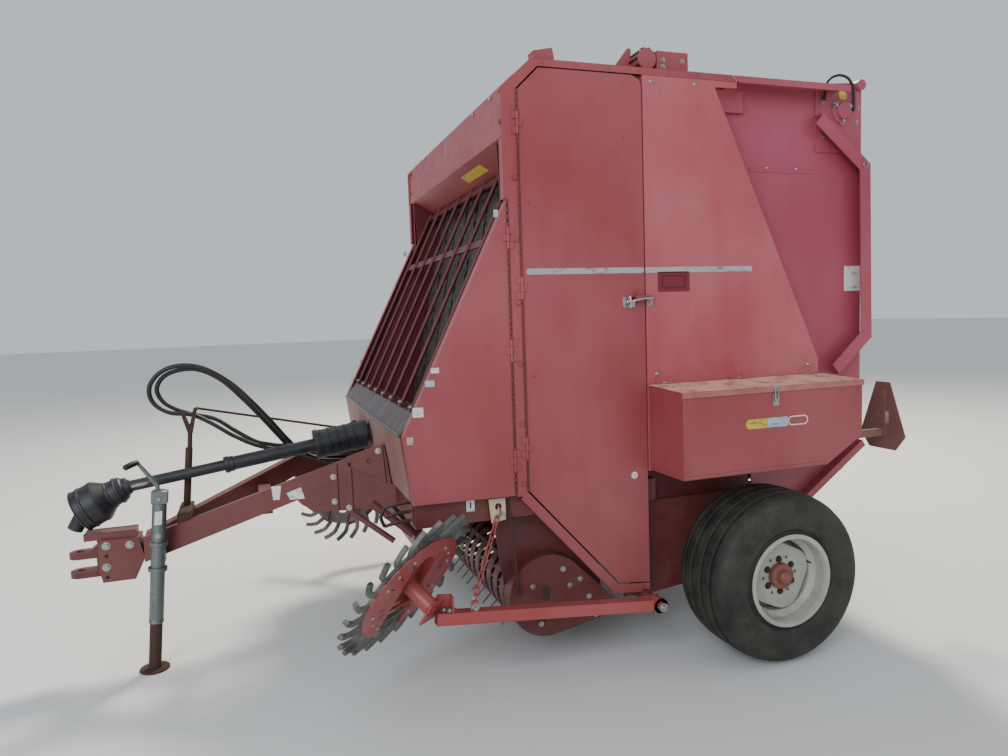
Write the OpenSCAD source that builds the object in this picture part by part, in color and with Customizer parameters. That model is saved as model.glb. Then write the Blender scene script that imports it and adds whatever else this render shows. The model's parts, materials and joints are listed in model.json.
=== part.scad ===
// Round baler with rake wheels, parked on its jack.
// Lengths are millimetres. X runs to the rear, Y to the machine's right, Z up.
// Inside the modules X is counted from the axle; on_machine() moves it to the middle of the length.
// Side pieces are drawn on the right and mirrored to the left by to_side().

/* [Overall] */
// Foremost point of the hitch, from the axle
hitch_tip_x = -3055; // [-3200:1:-2900]
// Rearmost face of the rear sign, from the axle
rear_end_x = 1005; // [950:1:1100]

/* [Wheels] */
// Outside diameter of the tyre
tyre_d = 770; // [720:1:800]
// Width of the tyre
tyre_w = 340; // [300:1:360]
// Distance from the centreline to the middle of the tyre
wheel_y = 1113; // [1105:1:1150]
// Diameter over the rim's flanges
rim_flange_d = 416; // [400:1:430]
// Width over the rim's flanges
rim_w = 316; // [300:1:330]
// Diameter of the rim's bead seat
rim_seat_d = 381; // [370:1:390]
// Diameter of the wheel spindle
spindle_d = 64; // [50:1:70]
// Side of the square axle beam
axle_beam_side = 90; // [70:1:100]
// Wall of the axle beam
axle_beam_wall = 8; // [5:1:12]
// Radial running clearance of shafts in their bores
running = 0.05; // [0.02:0.01:0.1]

/* [Chamber] */
// Outer face of the chamber's side walls, from the centreline
wall_y = 830; // [815:1:835]
// Thickness of the side walls
wall_t = 6; // [4:1:8]
// Depth of the tailgate's pivot below the roof
gate_pivot_drop = 90; // [80:1:100]
// Place of the tailgate's pivot, from the axle
gate_pivot_x = -120; // [-130:1:-115]
// Diameter of the tailgate's pivot pin
gate_pin_d = 50; // [40:1:56]
// Radius of the belt rollers
roller_r = 75; // [60:1:80]
// Thickness of a belt
belt_t = 7; // [5:1:9]
// Width of a belt
belt_w = 165; // [140:1:175]
// Distance between the middles of two belts
belt_pitch = 200; // [190:1:204]
// Number of belts side by side
belt_count = 8; // [4:1:8]

/* [Side shields] */
// Outer face of the side shields, from the centreline
shield_y = 940; // [935:1:950]
// Thickness of the shield sheets
sheet_t = 4; // [3:1:5]
// Depth of the folded edges of the shields
fold_depth = 40; // [30:1:42]
// Gap round the opening shields
door_gap = 6; // [5:1:8]
// Hinge line of the large side door, from the axle
door_hinge_x = -1101; // [-1105:1:-1098]
// Hinge line of the front shield, from the axle
wedge_hinge_x = -1157; // [-1162:1:-1154]
// Seam between side door and rear shield
seam_x = -514; // [-518:1:-510]
// Height of the roof rail's top
roof_z = 2650; // [2645:1:2660]
// Height of the roof rail's face
roof_rail_h = 30; // [25:1:40]

/* [Grille] */
// Number of rods in the front grille
rod_count = 8; // [6:1:10]
// Diameter of a grille rod
rod_d = 19; // [14:1:22]
// Distance between grille rods
rod_pitch = 228; // [160:1:230]

/* [Twine box] */
// Width of the twine box, out from the shield
box_depth = 277; // [260:1:290]
// Bottom of the twine box
box_bottom_z = 872; // [860:1:890]
// Height of the lid at its hinge
box_top_z = 1261; // [1255:1:1265]
// Front wall of the twine box
box_front_x = -504; // [-506:1:-500]
// Rear wall of the twine box
box_rear_x = 443; // [400:1:450]
// Thickness of the twine box's sheet
box_t = 4; // [3:1:5]

/* [Pickup] */
// Height of the reel's shaft
reel_z = 340; // [325:1:345]
// Place of the reel's shaft, from the axle
reel_x = -1000; // [-1010:1:-990]
// Radius to the tips of the reel's tines
tine_tip_r = 245; // [230:1:255]
// Radius of the bands that the tines pass between
band_r = 185; // [170:1:190]
// Number of tines on a bar
tine_count = 16; // [8:1:18]
// Space between the outermost tine and the end plate
tine_margin = 80; // [70:1:90]
// Half of the pickup's width, to its end plates
pickup_half_w = 800; // [795:1:806]

/* [Rake wheels] */
// Place of the rake wheel's middle, from the axle
rake_x = -1636; // [-1660:1:-1620]
// Distance from the centreline to the rake wheel's middle
rake_y = 975; // [960:1:990]
// Height of the rake wheel's middle
rake_z = 505; // [490:1:508]
// Turn of its spindle from straight back to outward
rake_turn = 49.7; // [45:0.1:55]
// Dip of its spindle below level
rake_dip = 34.5; // [30:0.1:38]
// Diameter of the rake wheel's plate
rake_plate_d = 480; // [440:1:500]
// Diameter over the rubber fingers
rake_tip_d = 720; // [640:1:730]
// Number of rubber fingers
finger_count = 24; // [12:1:28]
// Side of the square arm
arm_side = 50; // [40:1:54]

/* [Hitch and jack] */
// Diameter of the hitch pin's hole
hitch_hole_d = 33; // [26:1:36]
// Thickness of a hitch tine
hitch_tine_t = 28; // [24:1:30]
// Gap between the two hitch tines
hitch_gap = 62; // [50:1:66]
// Diameter of the jack's outer tube
jack_d = 63; // [58:1:70]
// Lean of the jack, its foot to the front
jack_lean = 5.2; // [3:0.1:7]
// Diameter of the bore in the driveline's yoke
yoke_bore_d = 35; // [34:1:36]

/* [Hidden] */
$fn = 48;

red = [0.66, 0.24, 0.26];
dark_red = [0.50, 0.13, 0.16];
black = [0.10, 0.10, 0.11];
rubber = [0.13, 0.13, 0.13];
steel = [0.62, 0.62, 0.60];
rust = [0.42, 0.26, 0.18];

LEFT = -1;
RIGHT = 1;
seat = 0.3;
eps = 0.01;

axle_x = -(hitch_tip_x + rear_end_x) / 2;
axle_z = tyre_d / 2;

// Heights that follow the roof: the bend over the front, the front's crease, its lower edge, the top of
// the front shield and the top of the shields' post
shoulder_z = roof_z - 104;
header_z = roof_z - 318;
soffit_z = roof_z - 410;
wedge_top_z = roof_z - 584;
post_top_z = shoulder_z - 21;

// Placing and shaping helpers

module on_machine() translate([axle_x, 0, 0]) children();
module to_side(side) { if (side > 0) children(); else mirror([0, 1, 0]) children(); }

// Extrudes an outline drawn in X and Z from y0 to y1.
module xz(y0, y1) translate([0, y1, 0]) rotate([90, 0, 0]) linear_extrude(y1 - y0) children();

// A round bar along Y.
module y_bar(x, z, y0, y1, r) translate([x, y0, z]) rotate([-90, 0, 0]) cylinder(r = r, h = y1 - y0);

// A round bar between two points of the same Y.
module leaning_bar(a, b, y, r) {
    d = b - a;
    translate([a.x, y, a.y]) rotate([0, atan2(d.x, d.y), 0]) cylinder(r = r, h = norm(d));
}

// A round bar between two points in space.
module bar(a, b, r) {
    d = b - a;
    translate(a) rotate([0, acos(d.z / norm(d)), atan2(d.y, d.x)]) cylinder(r = r, h = norm(d));
}

function left_normal(a, b) = let (d = (b - a) / norm(b - a)) [-d.y, d.x];
function mitre(p, i, t) =
    let (n = len(p),
         a = i == 0 ? left_normal(p[0], p[1]) : left_normal(p[i - 1], p[i]),
         b = i == n - 1 ? a : left_normal(p[i], p[i + 1]))
    p[i] + (a + b) * t / (1 + a * b);
// The line p moved sideways by t, to its left.
function moved(p, t) = [for (i = [0 : len(p) - 1]) mitre(p, i, t)];
// The outline of a sheet of thickness t bent along the line p.
function bent(p, t) = let (q = moved(p, t)) concat(p, [for (i = [len(q) - 1 : -1 : 0]) q[i]]);

// The outline of a belt round rollers at the corners p, which run anticlockwise. Its sides touch the
// circles of radius r and never cut into them.
function belt_line(p, r, steps = 5) =
    let (n = len(p))
    [for (i = [0 : n - 1])
        let (a = p[(i + n - 1) % n], b = p[i], c = p[(i + 1) % n],
             from = atan2(b.y - a.y, b.x - a.x) - 90,
             raw = atan2(c.y - b.y, c.x - b.x) - 90 - from,
             turn = raw < 0 ? raw + 360 : raw)
        for (k = [0.5 : steps - 0.5])
            b + r / cos(turn / steps / 2) * [cos(from + turn * k / steps), sin(from + turn * k / steps)]];

// Wheels

rim_t = 6;
bead_half_w = rim_w / 2 - 12;
disc_recess = 95;
hub_r = 78;
hub_len = 110;
wheel_face_y = wheel_y + rim_w / 2;
disc_y = wheel_face_y - disc_recess;

function spow(v, p) = sign(v) * pow(abs(v), p);

// Section of the tyre: first number the radius, second across the tread.
function tyre_section(steps = 12) =
    let (mid_r = 292, half_h = tyre_d / 2 - mid_r, bead_r = rim_seat_d / 2 + seat)
    concat([[bead_r, bead_half_w]],
           [for (k = [0 : steps])
               let (a = -44 + 268 * k / steps)
               [mid_r + half_h * spow(sin(a), 0.5), tyre_w / 2 * spow(cos(a), 0.55)]],
           [[bead_r, -bead_half_w]]);

groove_w = 13;
groove_depth = 13;
groove_places = [-86, -30, 30, 86];

module tyre(side) on_machine() to_side(side) color(rubber)
    translate([0, wheel_y, axle_z]) rotate([-90, 0, 0]) rotate_extrude($fn = 72) difference() {
        polygon(tyre_section());
        for (y = groove_places)
            translate([tyre_d / 2 - groove_depth, y - groove_w / 2]) square([2 * groove_depth, groove_w]);
    }

module rim(side) on_machine() to_side(side) color(steel)
    translate([0, wheel_y, axle_z]) rotate([-90, 0, 0]) rotate_extrude($fn = 72) {
        seat_r = rim_seat_d / 2;
        half = rim_w / 2;
        polygon(bent([
            [rim_flange_d / 2, -half], [seat_r + 3, -half], [seat_r, 8 - half], [seat_r, 60 - half],
            [seat_r - 22, 80 - half], [seat_r - 22, half - 80], [seat_r, half - 60],
            [seat_r, half - 8], [seat_r + 3, half], [rim_flange_d / 2, half]], rim_t));
        disc_h = half - disc_recess;
        polygon([[hub_r - 10, disc_h - 10], [130, disc_h - 10], [seat_r - 27, disc_h - 60],
                 [seat_r - 24, disc_h - 46], [136, disc_h], [hub_r - 10, disc_h]]);
        difference() {
            union() {
                translate([0, disc_h - hub_len]) square([hub_r - 22, hub_len + 40]);
                translate([0, disc_h - 24]) square([hub_r, 30]);
            }
            translate([-eps, disc_h - hub_len - 1]) square([spindle_d / 2 + running, hub_len + 1]);
        }
    }

beam_end_y = 925;

module axle_beam() on_machine() color(dark_red) {
    half = axle_beam_side / 2;
    difference() {
        translate([-half, -beam_end_y, axle_z - half]) cube([axle_beam_side, 2 * beam_end_y, axle_beam_side]);
        translate([axle_beam_wall - half, -beam_end_y + 12, axle_z - half + axle_beam_wall])
            cube([axle_beam_side - 2 * axle_beam_wall, 2 * beam_end_y - 24,
                  axle_beam_side - 2 * axle_beam_wall]);
    }
    for (side = [LEFT, RIGHT]) to_side(side) y_bar(0, axle_z, beam_end_y - eps, disc_y - 1, spindle_d / 2);
}

// Frame

rail_y0 = wall_y + 6;
rail_y1 = 890;
rail_z0 = 715;
rail_z1 = 815;
rail_front_x = -1590;
rail_rear_x = -450;
frame_plate_t = 10;
arm_pivot_x = -540;
arm_pivot_z = 285;
arm_pivot_r = 18;
arm_y = 1045;
frame_plate = [[-600, 258], [-560, 330], [-530, 640], [-530, 700], [80, 700], [80, 300], [-60, 290],
               [-500, 250]];
chain_top = [-1223, 0, 760];

module frame_side(side) on_machine() to_side(side) color(red) {
    difference() {
        translate([rail_front_x, rail_y0, rail_z0])
            cube([rail_rear_x - rail_front_x, rail_y1 - rail_y0, rail_z1 - rail_z0]);
        translate([rail_front_x - 1, rail_y0 + 6, rail_z0 + 6])
            cube([rail_rear_x - rail_front_x + 2, rail_y1 - rail_y0 - 12, rail_z1 - rail_z0 - 12]);
    }
    difference() {
        xz(rail_y0, rail_y0 + frame_plate_t) polygon(frame_plate);
        half = axle_beam_side / 2 + seat;
        translate([-half, rail_y0 - 1, axle_z - half]) cube([2 * half, frame_plate_t + 2, 2 * half]);
    }
    translate([-530, rail_y0, 695]) cube([80, frame_plate_t, rail_z0 - 694]);
    y_bar(arm_pivot_x, arm_pivot_z, rail_y0, arm_y + arm_side / 2 + 25, arm_pivot_r);
    y_bar(arm_pivot_x, arm_pivot_z, rail_y0, arm_y - arm_side / 2 - 12, arm_pivot_r + 8);
    difference() {
        translate([chain_top.x - 40, rail_y1 - eps, 735]) cube([90, 6, 82]);
        translate([chain_top.x - 6, rail_y1 - 2, 745]) cube([12, 12, 34]);
        y_bar(chain_top.x, 782, rail_y1 - 2, rail_y1 + 10, 11);
    }
}

// columns: x, z of the lower edge, width, height
cross_members = [[-1590, 715, 100, 100], [-1250, 735, 60, 60], [-520, 650, 60, 50]];

module cross_tubes(grow = 0) for (t = cross_members)
    translate([t[0] - grow, -rail_y0, t[1] - grow]) cube([t[2] + 2 * grow, 2 * rail_y0, t[3] + 2 * grow]);

// Drawbar and hitch

tongue_front = [-2700, 75];
tongue_root = [-1640, 460];
tongue_t = 60;
tongue_angle = atan2(tongue_root.y - tongue_front.y, tongue_root.x - tongue_front.x);
function along(x) = (x - tongue_front.x) / cos(tongue_angle);
function rail_top(x) = 612 + (x + 2705) * 0.3738;
function rail_y(x) = tongue_front.y + (x - tongue_front.x) * tan(tongue_angle);
front_line = [[-1604, 832], [-1640, 1112]];
hitch_half_w = 60;
hitch_plate_t = 14;
hitch_plate = [[-2925, 462], [-2925, 600], [-2912, 611], [-2750, 604], [-2728, 503], [-2774, 407],
               [-2913, 407]];

module tongue_rail() difference() {
    translate([tongue_front.x, tongue_front.y, 0]) rotate([0, 0, tongue_angle]) xz(-tongue_t, 0)
        polygon([[along(-2760), 470], [along(-2760), rail_top(-2760)], [along(-1560), rail_top(-1560)],
                 [along(-1560), 715],
                 [along(-1960), 700], [along(-2030), 760]]);
    xz(0, 900) polygon([[-1610, 826], [-1646, 1112], [-1646, 1300], [-1300, 1300], [-1300, 826]]);
    translate([rail_front_x, 0, 600]) cube([400, 900, 300]);
    translate([-2900, -100, 400]) cube([170, 300, 400]);
}

module drawbar() on_machine() color(red) {
    for (side = [LEFT, RIGHT]) to_side(side) {
        tongue_rail();
        bar([-1700, 440, 735], [-1500, 500, 560], 18);
    }
    // box of two side plates round the clevis, with a cap channel on top
    difference() {
        xz(-hitch_half_w, hitch_half_w) polygon(hitch_plate);
        translate([-3000, hitch_plate_t - hitch_half_w, 380])
            cube([200, 2 * (hitch_half_w - hitch_plate_t), 300]);
    }
    difference() {
        translate([-2984, -44, 598]) cube([224, 88, 42]);
        translate([-2990, -36, 590]) cube([140, 72, 42]);
        translate([-2990, -50, 590]) cube([60, 100, 18]);
    }
    translate([-2200, -230, 690]) cube([60, 460, 60]);
    translate([-1530, -560, 530]) cube([60, 1120, 60]);
}

hitch_hole_x = hitch_tip_x + 45;
lower_tine_z = 436;
upper_tine_z = lower_tine_z + hitch_tine_t + hitch_gap;
clevis_half_w = hitch_half_w - hitch_plate_t - seat;

module hitch_clevis() on_machine() color(dark_red) {
    // block between the side plates, with a wedge over the upper tine
    xz(-clevis_half_w, clevis_half_w) polygon([[-2935, lower_tine_z], [-2935, upper_tine_z],
        [-2968, upper_tine_z], [-2968, upper_tine_z + hitch_tine_t], [-2916, 594], [-2870, 594],
        [-2870, lower_tine_z]]);
    for (z = [lower_tine_z, upper_tine_z]) difference() {
        union() {
            translate([hitch_hole_x, -clevis_half_w, z])
                cube([-2934 - hitch_hole_x, 2 * clevis_half_w, hitch_tine_t]);
            translate([hitch_hole_x, 0, z]) cylinder(r = clevis_half_w, h = hitch_tine_t);
        }
        translate([hitch_hole_x, 0, z - 1]) cylinder(d = hitch_hole_d, h = hitch_tine_t + 2);
    }
}

// Jack, standing left of the tongue

jack_foot = [-2707, -170, 0];
jack_tube_from = 225;
jack_tube_to = 800;
jack_wall = 4;
jack_bore_d = jack_d - 2 * jack_wall;
jack_leg_len = 500;

module at_jack() translate(jack_foot) rotate([0, jack_lean, 0]) children();

module jack_tube() on_machine() color(steel) {
    difference() {
        union() {
            at_jack() {
                translate([0, 0, jack_tube_from]) cylinder(d = jack_d, h = jack_tube_to - jack_tube_from);
                translate([-34, -36, jack_tube_to - 10]) cube([68, 72, 52]);
                for (z = [470, 590]) translate([0, 0, z]) cylinder(d = jack_d + 16, h = 16);
            }
            translate([0, 0, 500]) linear_extrude(90) polygon([[-2690, -150], [-2630, -150],
                [-2630, -rail_y(-2630) - seat], [-2690, -rail_y(-2690) - seat]]);
        }
        at_jack() translate([0, 0, jack_tube_from - 1])
            cylinder(d = jack_bore_d, h = jack_tube_to - jack_tube_from - 20);
    }
}

module jack_crank() on_machine() color(steel) at_jack() {
    bar([-10, 0, jack_tube_to + 42 + seat], [-10, 0, jack_tube_to + 66], 9);
    bar([-10, 0, jack_tube_to + 60], [-100, -10, jack_tube_to + 180], 8);
    bar([-98, -8, jack_tube_to + 177], [-136, -78, jack_tube_to + 166], 11);
}

module jack_leg() on_machine() color(rust) difference() {
    union() {
        at_jack() translate([0, 0, 4]) cylinder(d = jack_bore_d - 2 * running, h = jack_leg_len);
        translate(jack_foot) cylinder(d = 130, h = 8);
    }
    translate(jack_foot - [100, 100, 20]) cube([200, 200, 20]);
}

// Driveline and gearbox

shaft_front = [-2805, 838];
shaft_slope = 8.06;
shaft_rear_x = -1650;
function shaft_z(x) = shaft_front.y + (x - shaft_front.x) * tan(shaft_slope);
shaft_rear = [shaft_rear_x, shaft_z(shaft_rear_x)];
bell_r = 98;
bell_end = [-2996, 745];
yoke_top = [-2988, 728];
yoke_tip = [-3024, 662];

module driveline() on_machine() color(black) {
    leaning_bar(shaft_front, [-2330, shaft_z(-2330)], 0, 27);
    leaning_bar([-2340, shaft_z(-2340)], [-1900, shaft_z(-1900)], 0, 34);
    intersection() {
        leaning_bar([-1915, shaft_z(-1915)], [-1600, shaft_z(-1600)], 0, 72);
        translate([-2000, -100, 850]) cube([shaft_rear_x - seat + 2000, 200, 300]);
    }
    d = bell_end - shaft_front;
    translate([shaft_front.x, 0, shaft_front.y]) rotate([0, atan2(d.x, d.y), 0]) rotate_extrude()
        polygon([[0, -20], [40, -20], [58, 20], [60, 60], [bell_r, 110], [bell_r, norm(d)],
                 [bell_r - 5, norm(d)], [bell_r - 5, 120], [40, 100], [0, 100]]);
    leaning_bar(shaft_front, yoke_top, 0, 30);
    difference() {
        leaning_bar(yoke_top, yoke_tip, 0, 34);
        leaning_bar(yoke_top + (yoke_tip - yoke_top) * 0.2, yoke_tip + (yoke_tip - yoke_top) * 0.1, 0,
                    yoke_bore_d / 2);
    }
}

gearbox_x = -1590;

module gearbox() on_machine() color(black) {
    translate([gearbox_x, -110, rail_z1]) cube([165, 220, 275]);
    translate([shaft_rear_x, 0, shaft_rear.y]) rotate([0, 90, 0]) cylinder(r = 48, h = 80);
}

// Hose stand: a post on the tongue and a long support rod from the apron

stand_foot = [-2540, 46, 700];
stand_sleeve = [-2511, 46, 997];
stand_top = [-2499, 46, 1110];
fork_y = 34;
support_front = [-2470, 130, 1181];
support_rear = [-1633, 132, 994];

module hose_stand() on_machine() color(rust) {
    bar(stand_foot, stand_sleeve, 17);
    bar(stand_sleeve - [0, 0, 40], stand_top, 11);
    // foot on the two tongue rails
    xz(-128, 128) polygon([[-2570, rail_top(-2570) + seat], [-2510, rail_top(-2510) + seat], [-2510, 712],
                           [-2570, 712]]);
    // fork that cradles the hoses, and the long rod that holds it up
    xz(fork_y - 6, fork_y + 6) polygon([[-2511, 1070], [-2488, 1070], [-2462, 1192], [-2477, 1194],
                                        [-2500, 1112], [-2528, 1190], [-2542, 1185]]);
    y_bar(support_front.x, support_front.z, fork_y - 8, support_front.y + 9, 8);
    bar(support_front, support_rear, 6);
}

// Front wall, apron, header and grille

front_half_w = 884;
soffit_line = [[-1000, soffit_z], [-1162, header_z], [-1150, shoulder_z], [-1036.5, roof_z - 5 - seat],
               [-940, roof_z - 5 - seat]];

module front_wall() on_machine() color(rust) difference() {
    xz(-front_half_w, front_half_w)
        polygon(bent([front_line[1] + [0, -6], front_line[0], front_line[0] + [60, 0]], 5));
    translate([-1700, 0, shaft_rear.y]) rotate([0, 90, 0]) cylinder(r = 56, h = 200);
    translate([gearbox_x - seat, -110 - seat, 800]) cube([200, 220 + 2 * seat, 100]);
}

// Room for the chamber walls in a sheet that crosses them.
module wall_slots(corner, size) for (side = [LEFT, RIGHT]) to_side(side)
    translate([corner.x, wall_y - wall_t - seat, corner.y]) cube([size.x, wall_t + 2 * seat, size.y]);

module apron() on_machine() color(black) difference() {
    xz(-front_half_w, front_half_w)
        polygon(bent([front_line[1] + [0, -5], front_line[1], [-1576, 1200], [-1500, 1200]], -5));
    wall_slots([-1572, 1190], [80, 20]);
}

module header() on_machine() color(red) difference() {
    xz(-shield_y + 5 + seat, shield_y - 5 - seat) polygon(bent(soffit_line, -5));
    wall_slots([-1156 - seat, soffit_z - 10], [200, 115]);
    // room for the doors
    for (side = [LEFT, RIGHT]) to_side(side) translate([-1106, wall_y + seat, soffit_z - 10])
        cube([200, 110, top_rail_z - soffit_z + 10]);
}

rod_foot = [-1562, 1211];
rod_top = [-1053, soffit_z + 12];
rod_lean = atan2(rod_top.x - rod_foot.x, rod_top.y - rod_foot.y);
rod_len = norm(rod_top - rod_foot);
cross_bars = [0.66 * rod_len, rod_len - 46];

module grille() on_machine() color(red) {
    for (i = [0 : rod_count - 1]) {
        y = (i - (rod_count - 1) / 2) * rod_pitch;
        leaning_bar(rod_foot, rod_top, y, rod_d / 2);
        translate([rod_foot.x - 14, y - 20, 1200 + seat]) cube([40, 40, 18]);
    }
    translate([rod_foot.x, 0, rod_foot.y]) rotate([0, rod_lean, 0])
        for (at = cross_bars) translate([2, -wall_y + wall_t, at]) cube([10, 2 * (wall_y - wall_t), 36]);
}

// Chamber walls

pivot = [gate_pivot_x, roof_z - gate_pivot_drop];
wall_top_z = roof_z - 13;
parting = [[130, 520], [pivot.x + 55, pivot.y - 75]];
wall_outline = concat(
    [[-80, 470], parting[0], parting[1], [pivot.x + 55, pivot.y - 40], [pivot.x - 110, pivot.y - 20],
     [pivot.x - 110, wall_top_z], [-1037, wall_top_z], [-1144, shoulder_z - 6], [-1156, header_z + 2],
     [-1145, wedge_top_z],
     [-1568, 1203], [-1570, 1195]],
    [front_line[1] + [6, -6], front_line[0] + [8, 5 + seat], front_line[0] + [60 + seat, 5 + seat],
     front_line[0] + [60 + seat, -12], [-1150, 760], [-1040, 660], [-760, 600], [-560, 440]]);

module side_wall(side) on_machine() to_side(side) color(dark_red) {
    difference() {
        xz(wall_y - wall_t, wall_y) polygon(wall_outline);
        cross_tubes(seat);
    }
    // pins of the tailgate and of its cylinder
    y_bar(pivot.x, pivot.y, wall_y - wall_t, wall_y, 56);
    y_bar(pivot.x, pivot.y, wall_y - eps, wall_y + 26, gate_pin_d / 2);
    y_bar(barrel_at.x, barrel_at.y, wall_y - eps, cyl_y - 24, 30);
    y_bar(barrel_at.x, barrel_at.y, wall_y - eps, cyl_y + 26, cyl_pin_r);
}

// Side shields

// Hinges stand on the shields' outer faces, so that the seams stay narrow.
knuckle_r = 5.5;
knuckle_len = 30;
hinge_pin_r = 3;
hinge_y = shield_y + knuckle_r;
door_hinges = [1010, 1690, roof_z - 280];
wedge_hinges = [960, 1430, wedge_top_z - 166];
LEAF_FRONT = -1;
LEAF_REAR = 1;

// The moving half of a hinge: one knuckle and its leaf.
module hinge_leaf(x, z, way) {
    difference() {
        translate([x, hinge_y, z]) cylinder(r = knuckle_r, h = knuckle_len, $fn = 24);
        translate([x, hinge_y, z - 1]) cylinder(r = hinge_pin_r + running, h = knuckle_len + 2, $fn = 24);
    }
    translate([way > 0 ? x + knuckle_r - 1.5 : x - 24, shield_y - eps, z])
        cube([24 - knuckle_r + 1.5, 4, knuckle_len]);
}

// The fixed half: two knuckles on one leaf, with the pin.
module hinge_base(x, z, way) {
    for (at = [z - knuckle_len - 1, z + knuckle_len + 1]) {
        translate([x, hinge_y, at]) cylinder(r = knuckle_r, h = knuckle_len, $fn = 24);
        translate([way > 0 ? x + knuckle_r - 1.5 : x - 24, shield_y - eps, at])
            cube([24 - knuckle_r + 1.5, 4, knuckle_len]);
    }
    translate([x, hinge_y, z - 2]) cylinder(r = hinge_pin_r, h = knuckle_len + 4, $fn = 24);
}

top_rail_z = roof_z - roof_rail_h;
door_bottom = [[door_hinge_x, 835], [-676, 363], [seam_x, 345]];
frame_sheet_t = 5;
rail_cut = [[-15, top_rail_z], [-15 - roof_rail_h, roof_z]];
rail_gap = 8;

module shield_frame(side) on_machine() to_side(side) color(red) {
    y0 = shield_y - frame_sheet_t;
    post_front = wedge_hinge_x + door_gap;
    post_rear = door_hinge_x - 2;
    strip_z = wedge_top_z + 9;
    for (z = door_hinges) hinge_base(door_hinge_x, z, LEAF_FRONT);
    for (z = wedge_hinges) hinge_base(wedge_hinge_x, z, LEAF_REAR);
    // post between the two hinges
    translate([post_front, y0, rail_z1])
        cube([post_rear - post_front, frame_sheet_t, post_top_z - rail_z1]);
    translate([post_front, 880, rail_z1]) cube([frame_sheet_t, y0 - 880 + eps, header_z - 14 - rail_z1]);
    // strip in front of the post, above the front shield
    translate([-1168, y0, strip_z]) cube([post_front + 1168 + eps, frame_sheet_t, post_top_z - strip_z]);
    translate([-1168, 895, strip_z]) cube([frame_sheet_t, y0 - 895 + eps, header_z - 7 - strip_z]);
    // sloping corner and roof rail
    xz(y0, shield_y) polygon([[-1168, post_top_z - 1], [-1150, shoulder_z], [-1028, roof_z], rail_cut[1],
                              rail_cut[0], [-1003, top_rail_z], [post_rear, post_top_z - 1]]);
    translate([-1028, wall_y, roof_z - 5]) cube([-240 + 1028, y0 - wall_y + eps, 5]);
    translate([-240 - eps, 905, roof_z - 5]) cube([190, y0 - 905 + eps, 5]);
    translate([-930, wall_y, roof_z - 90]) cube([6, 892 - wall_y, 86]);
    // lower rail along the door's bottom
    difference() {
        union() {
            xz(y0, shield_y) polygon(bent(moved(door_bottom, -3), -42));
            xz(rail_y1 + seat, shield_y) polygon(bent(moved(door_bottom, -40), -5));
        }
        y_bar(arm_pivot_x, arm_pivot_z, rail_y1 - 10, shield_y + 10, arm_pivot_r + 13);
    }
    translate([-560, rail_y0 + frame_plate_t, 316]) cube([46, y0 - rail_y0 - frame_plate_t + eps, 8]);
}

module tray(outline, depth) difference() {
    xz(shield_y - depth, shield_y) polygon(outline);
    xz(shield_y - depth - 1, shield_y - sheet_t) offset(delta = -sheet_t) polygon(outline);
}

half_gap = door_gap / 2;
door_outline = concat(
    moved([door_bottom[0] + [2, 0], door_bottom[1], door_bottom[2] - [half_gap, 0]], half_gap),
    [[seam_x - half_gap, top_rail_z - 50], [seam_x - 14, top_rail_z - 22],
     [seam_x - 50, top_rail_z - door_gap], [-1000, top_rail_z - door_gap],
     [door_hinge_x + 2, post_top_z - 9]]);

module side_door(side) on_machine() to_side(side) color(red) {
    tray(door_outline, fold_depth);
    for (z = door_hinges) hinge_leaf(door_hinge_x, z, LEAF_REAR);
    translate([seam_x - 50, shield_y - eps, 1630]) cube([40, 12, 50]);
    y_bar(seam_x - 30, 1655, shield_y, shield_y + 22, 8);
    translate([seam_x - 60, shield_y + 22 - eps, 1648]) cube([75, 8, 14]);
}

wedge_outline = [[wedge_hinge_x - 2, wedge_top_z], [-1634, 1112], [-1600, 828], [wedge_hinge_x - 2, 822]];

module front_shield(side) on_machine() to_side(side) color(red) {
    tray(wedge_outline, 50);
    for (z = wedge_hinges) hinge_leaf(wedge_hinge_x, z, LEAF_FRONT);
}

slant = [[-137, top_rail_z - 37], [440, 1335]];
shield_low_z = 866;

module rear_shield(side) on_machine() to_side(side) color(red) {
    low_z = side == LEFT ? shield_low_z : 880;
    y0 = shield_y - sheet_t;
    outline = [[seam_x + half_gap, low_z], [seam_x + half_gap, top_rail_z - 1], [-22, top_rail_z - 1],
               [-22, top_rail_z - 28], [slant[0].x, top_rail_z - 30], slant[0], slant[1],
               [box_rear_x, low_z]];
    xz(y0, shield_y) polygon(outline);
    // folded edges and the stand-offs that hold the panel to the chamber wall
    xz(shield_y - fold_depth, shield_y) polygon(bent(slant, -sheet_t));
    translate([seam_x + half_gap, shield_y - fold_depth, low_z])
        cube([sheet_t, fold_depth, top_rail_z - low_z - 2]);
    // columns: x, z
    for (p = [[seam_x + 20, roof_z - 110], [seam_x + 20, 1000], [-20, 1000]])
        translate([p[0], wall_y, p[1]]) cube([40, y0 - wall_y + eps, 6]);
    if (side == LEFT) lid_hinge_base();
}

// Twine box on the left

lid_drop = 12;
box_y1 = shield_y + box_depth;
box_side = [[box_front_x, box_bottom_z], [246, box_bottom_z], [box_rear_x, 990], [box_rear_x, box_top_z - 6],
            [box_front_x, box_top_z - 6]];

module twine_box() on_machine() to_side(LEFT) color(red) difference() {
    xz(shield_y, box_y1) polygon(box_side);
    xz(shield_y + box_t, box_y1 - box_t) polygon([
        [box_front_x + box_t, box_bottom_z + box_t], [244, box_bottom_z + box_t],
        [box_rear_x - box_t, 992], [box_rear_x - box_t, box_top_z + 10],
        [box_front_x + box_t, box_top_z + 10]]);
    // the top edge falls to the outside
    translate([box_front_x - 1, shield_y, box_top_z - 6]) rotate([-atan2(lid_drop, box_depth), 0, 0])
        translate([0, -5, 0]) cube([box_rear_x - box_front_x + 2, box_depth + 20, 60]);
}

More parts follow.
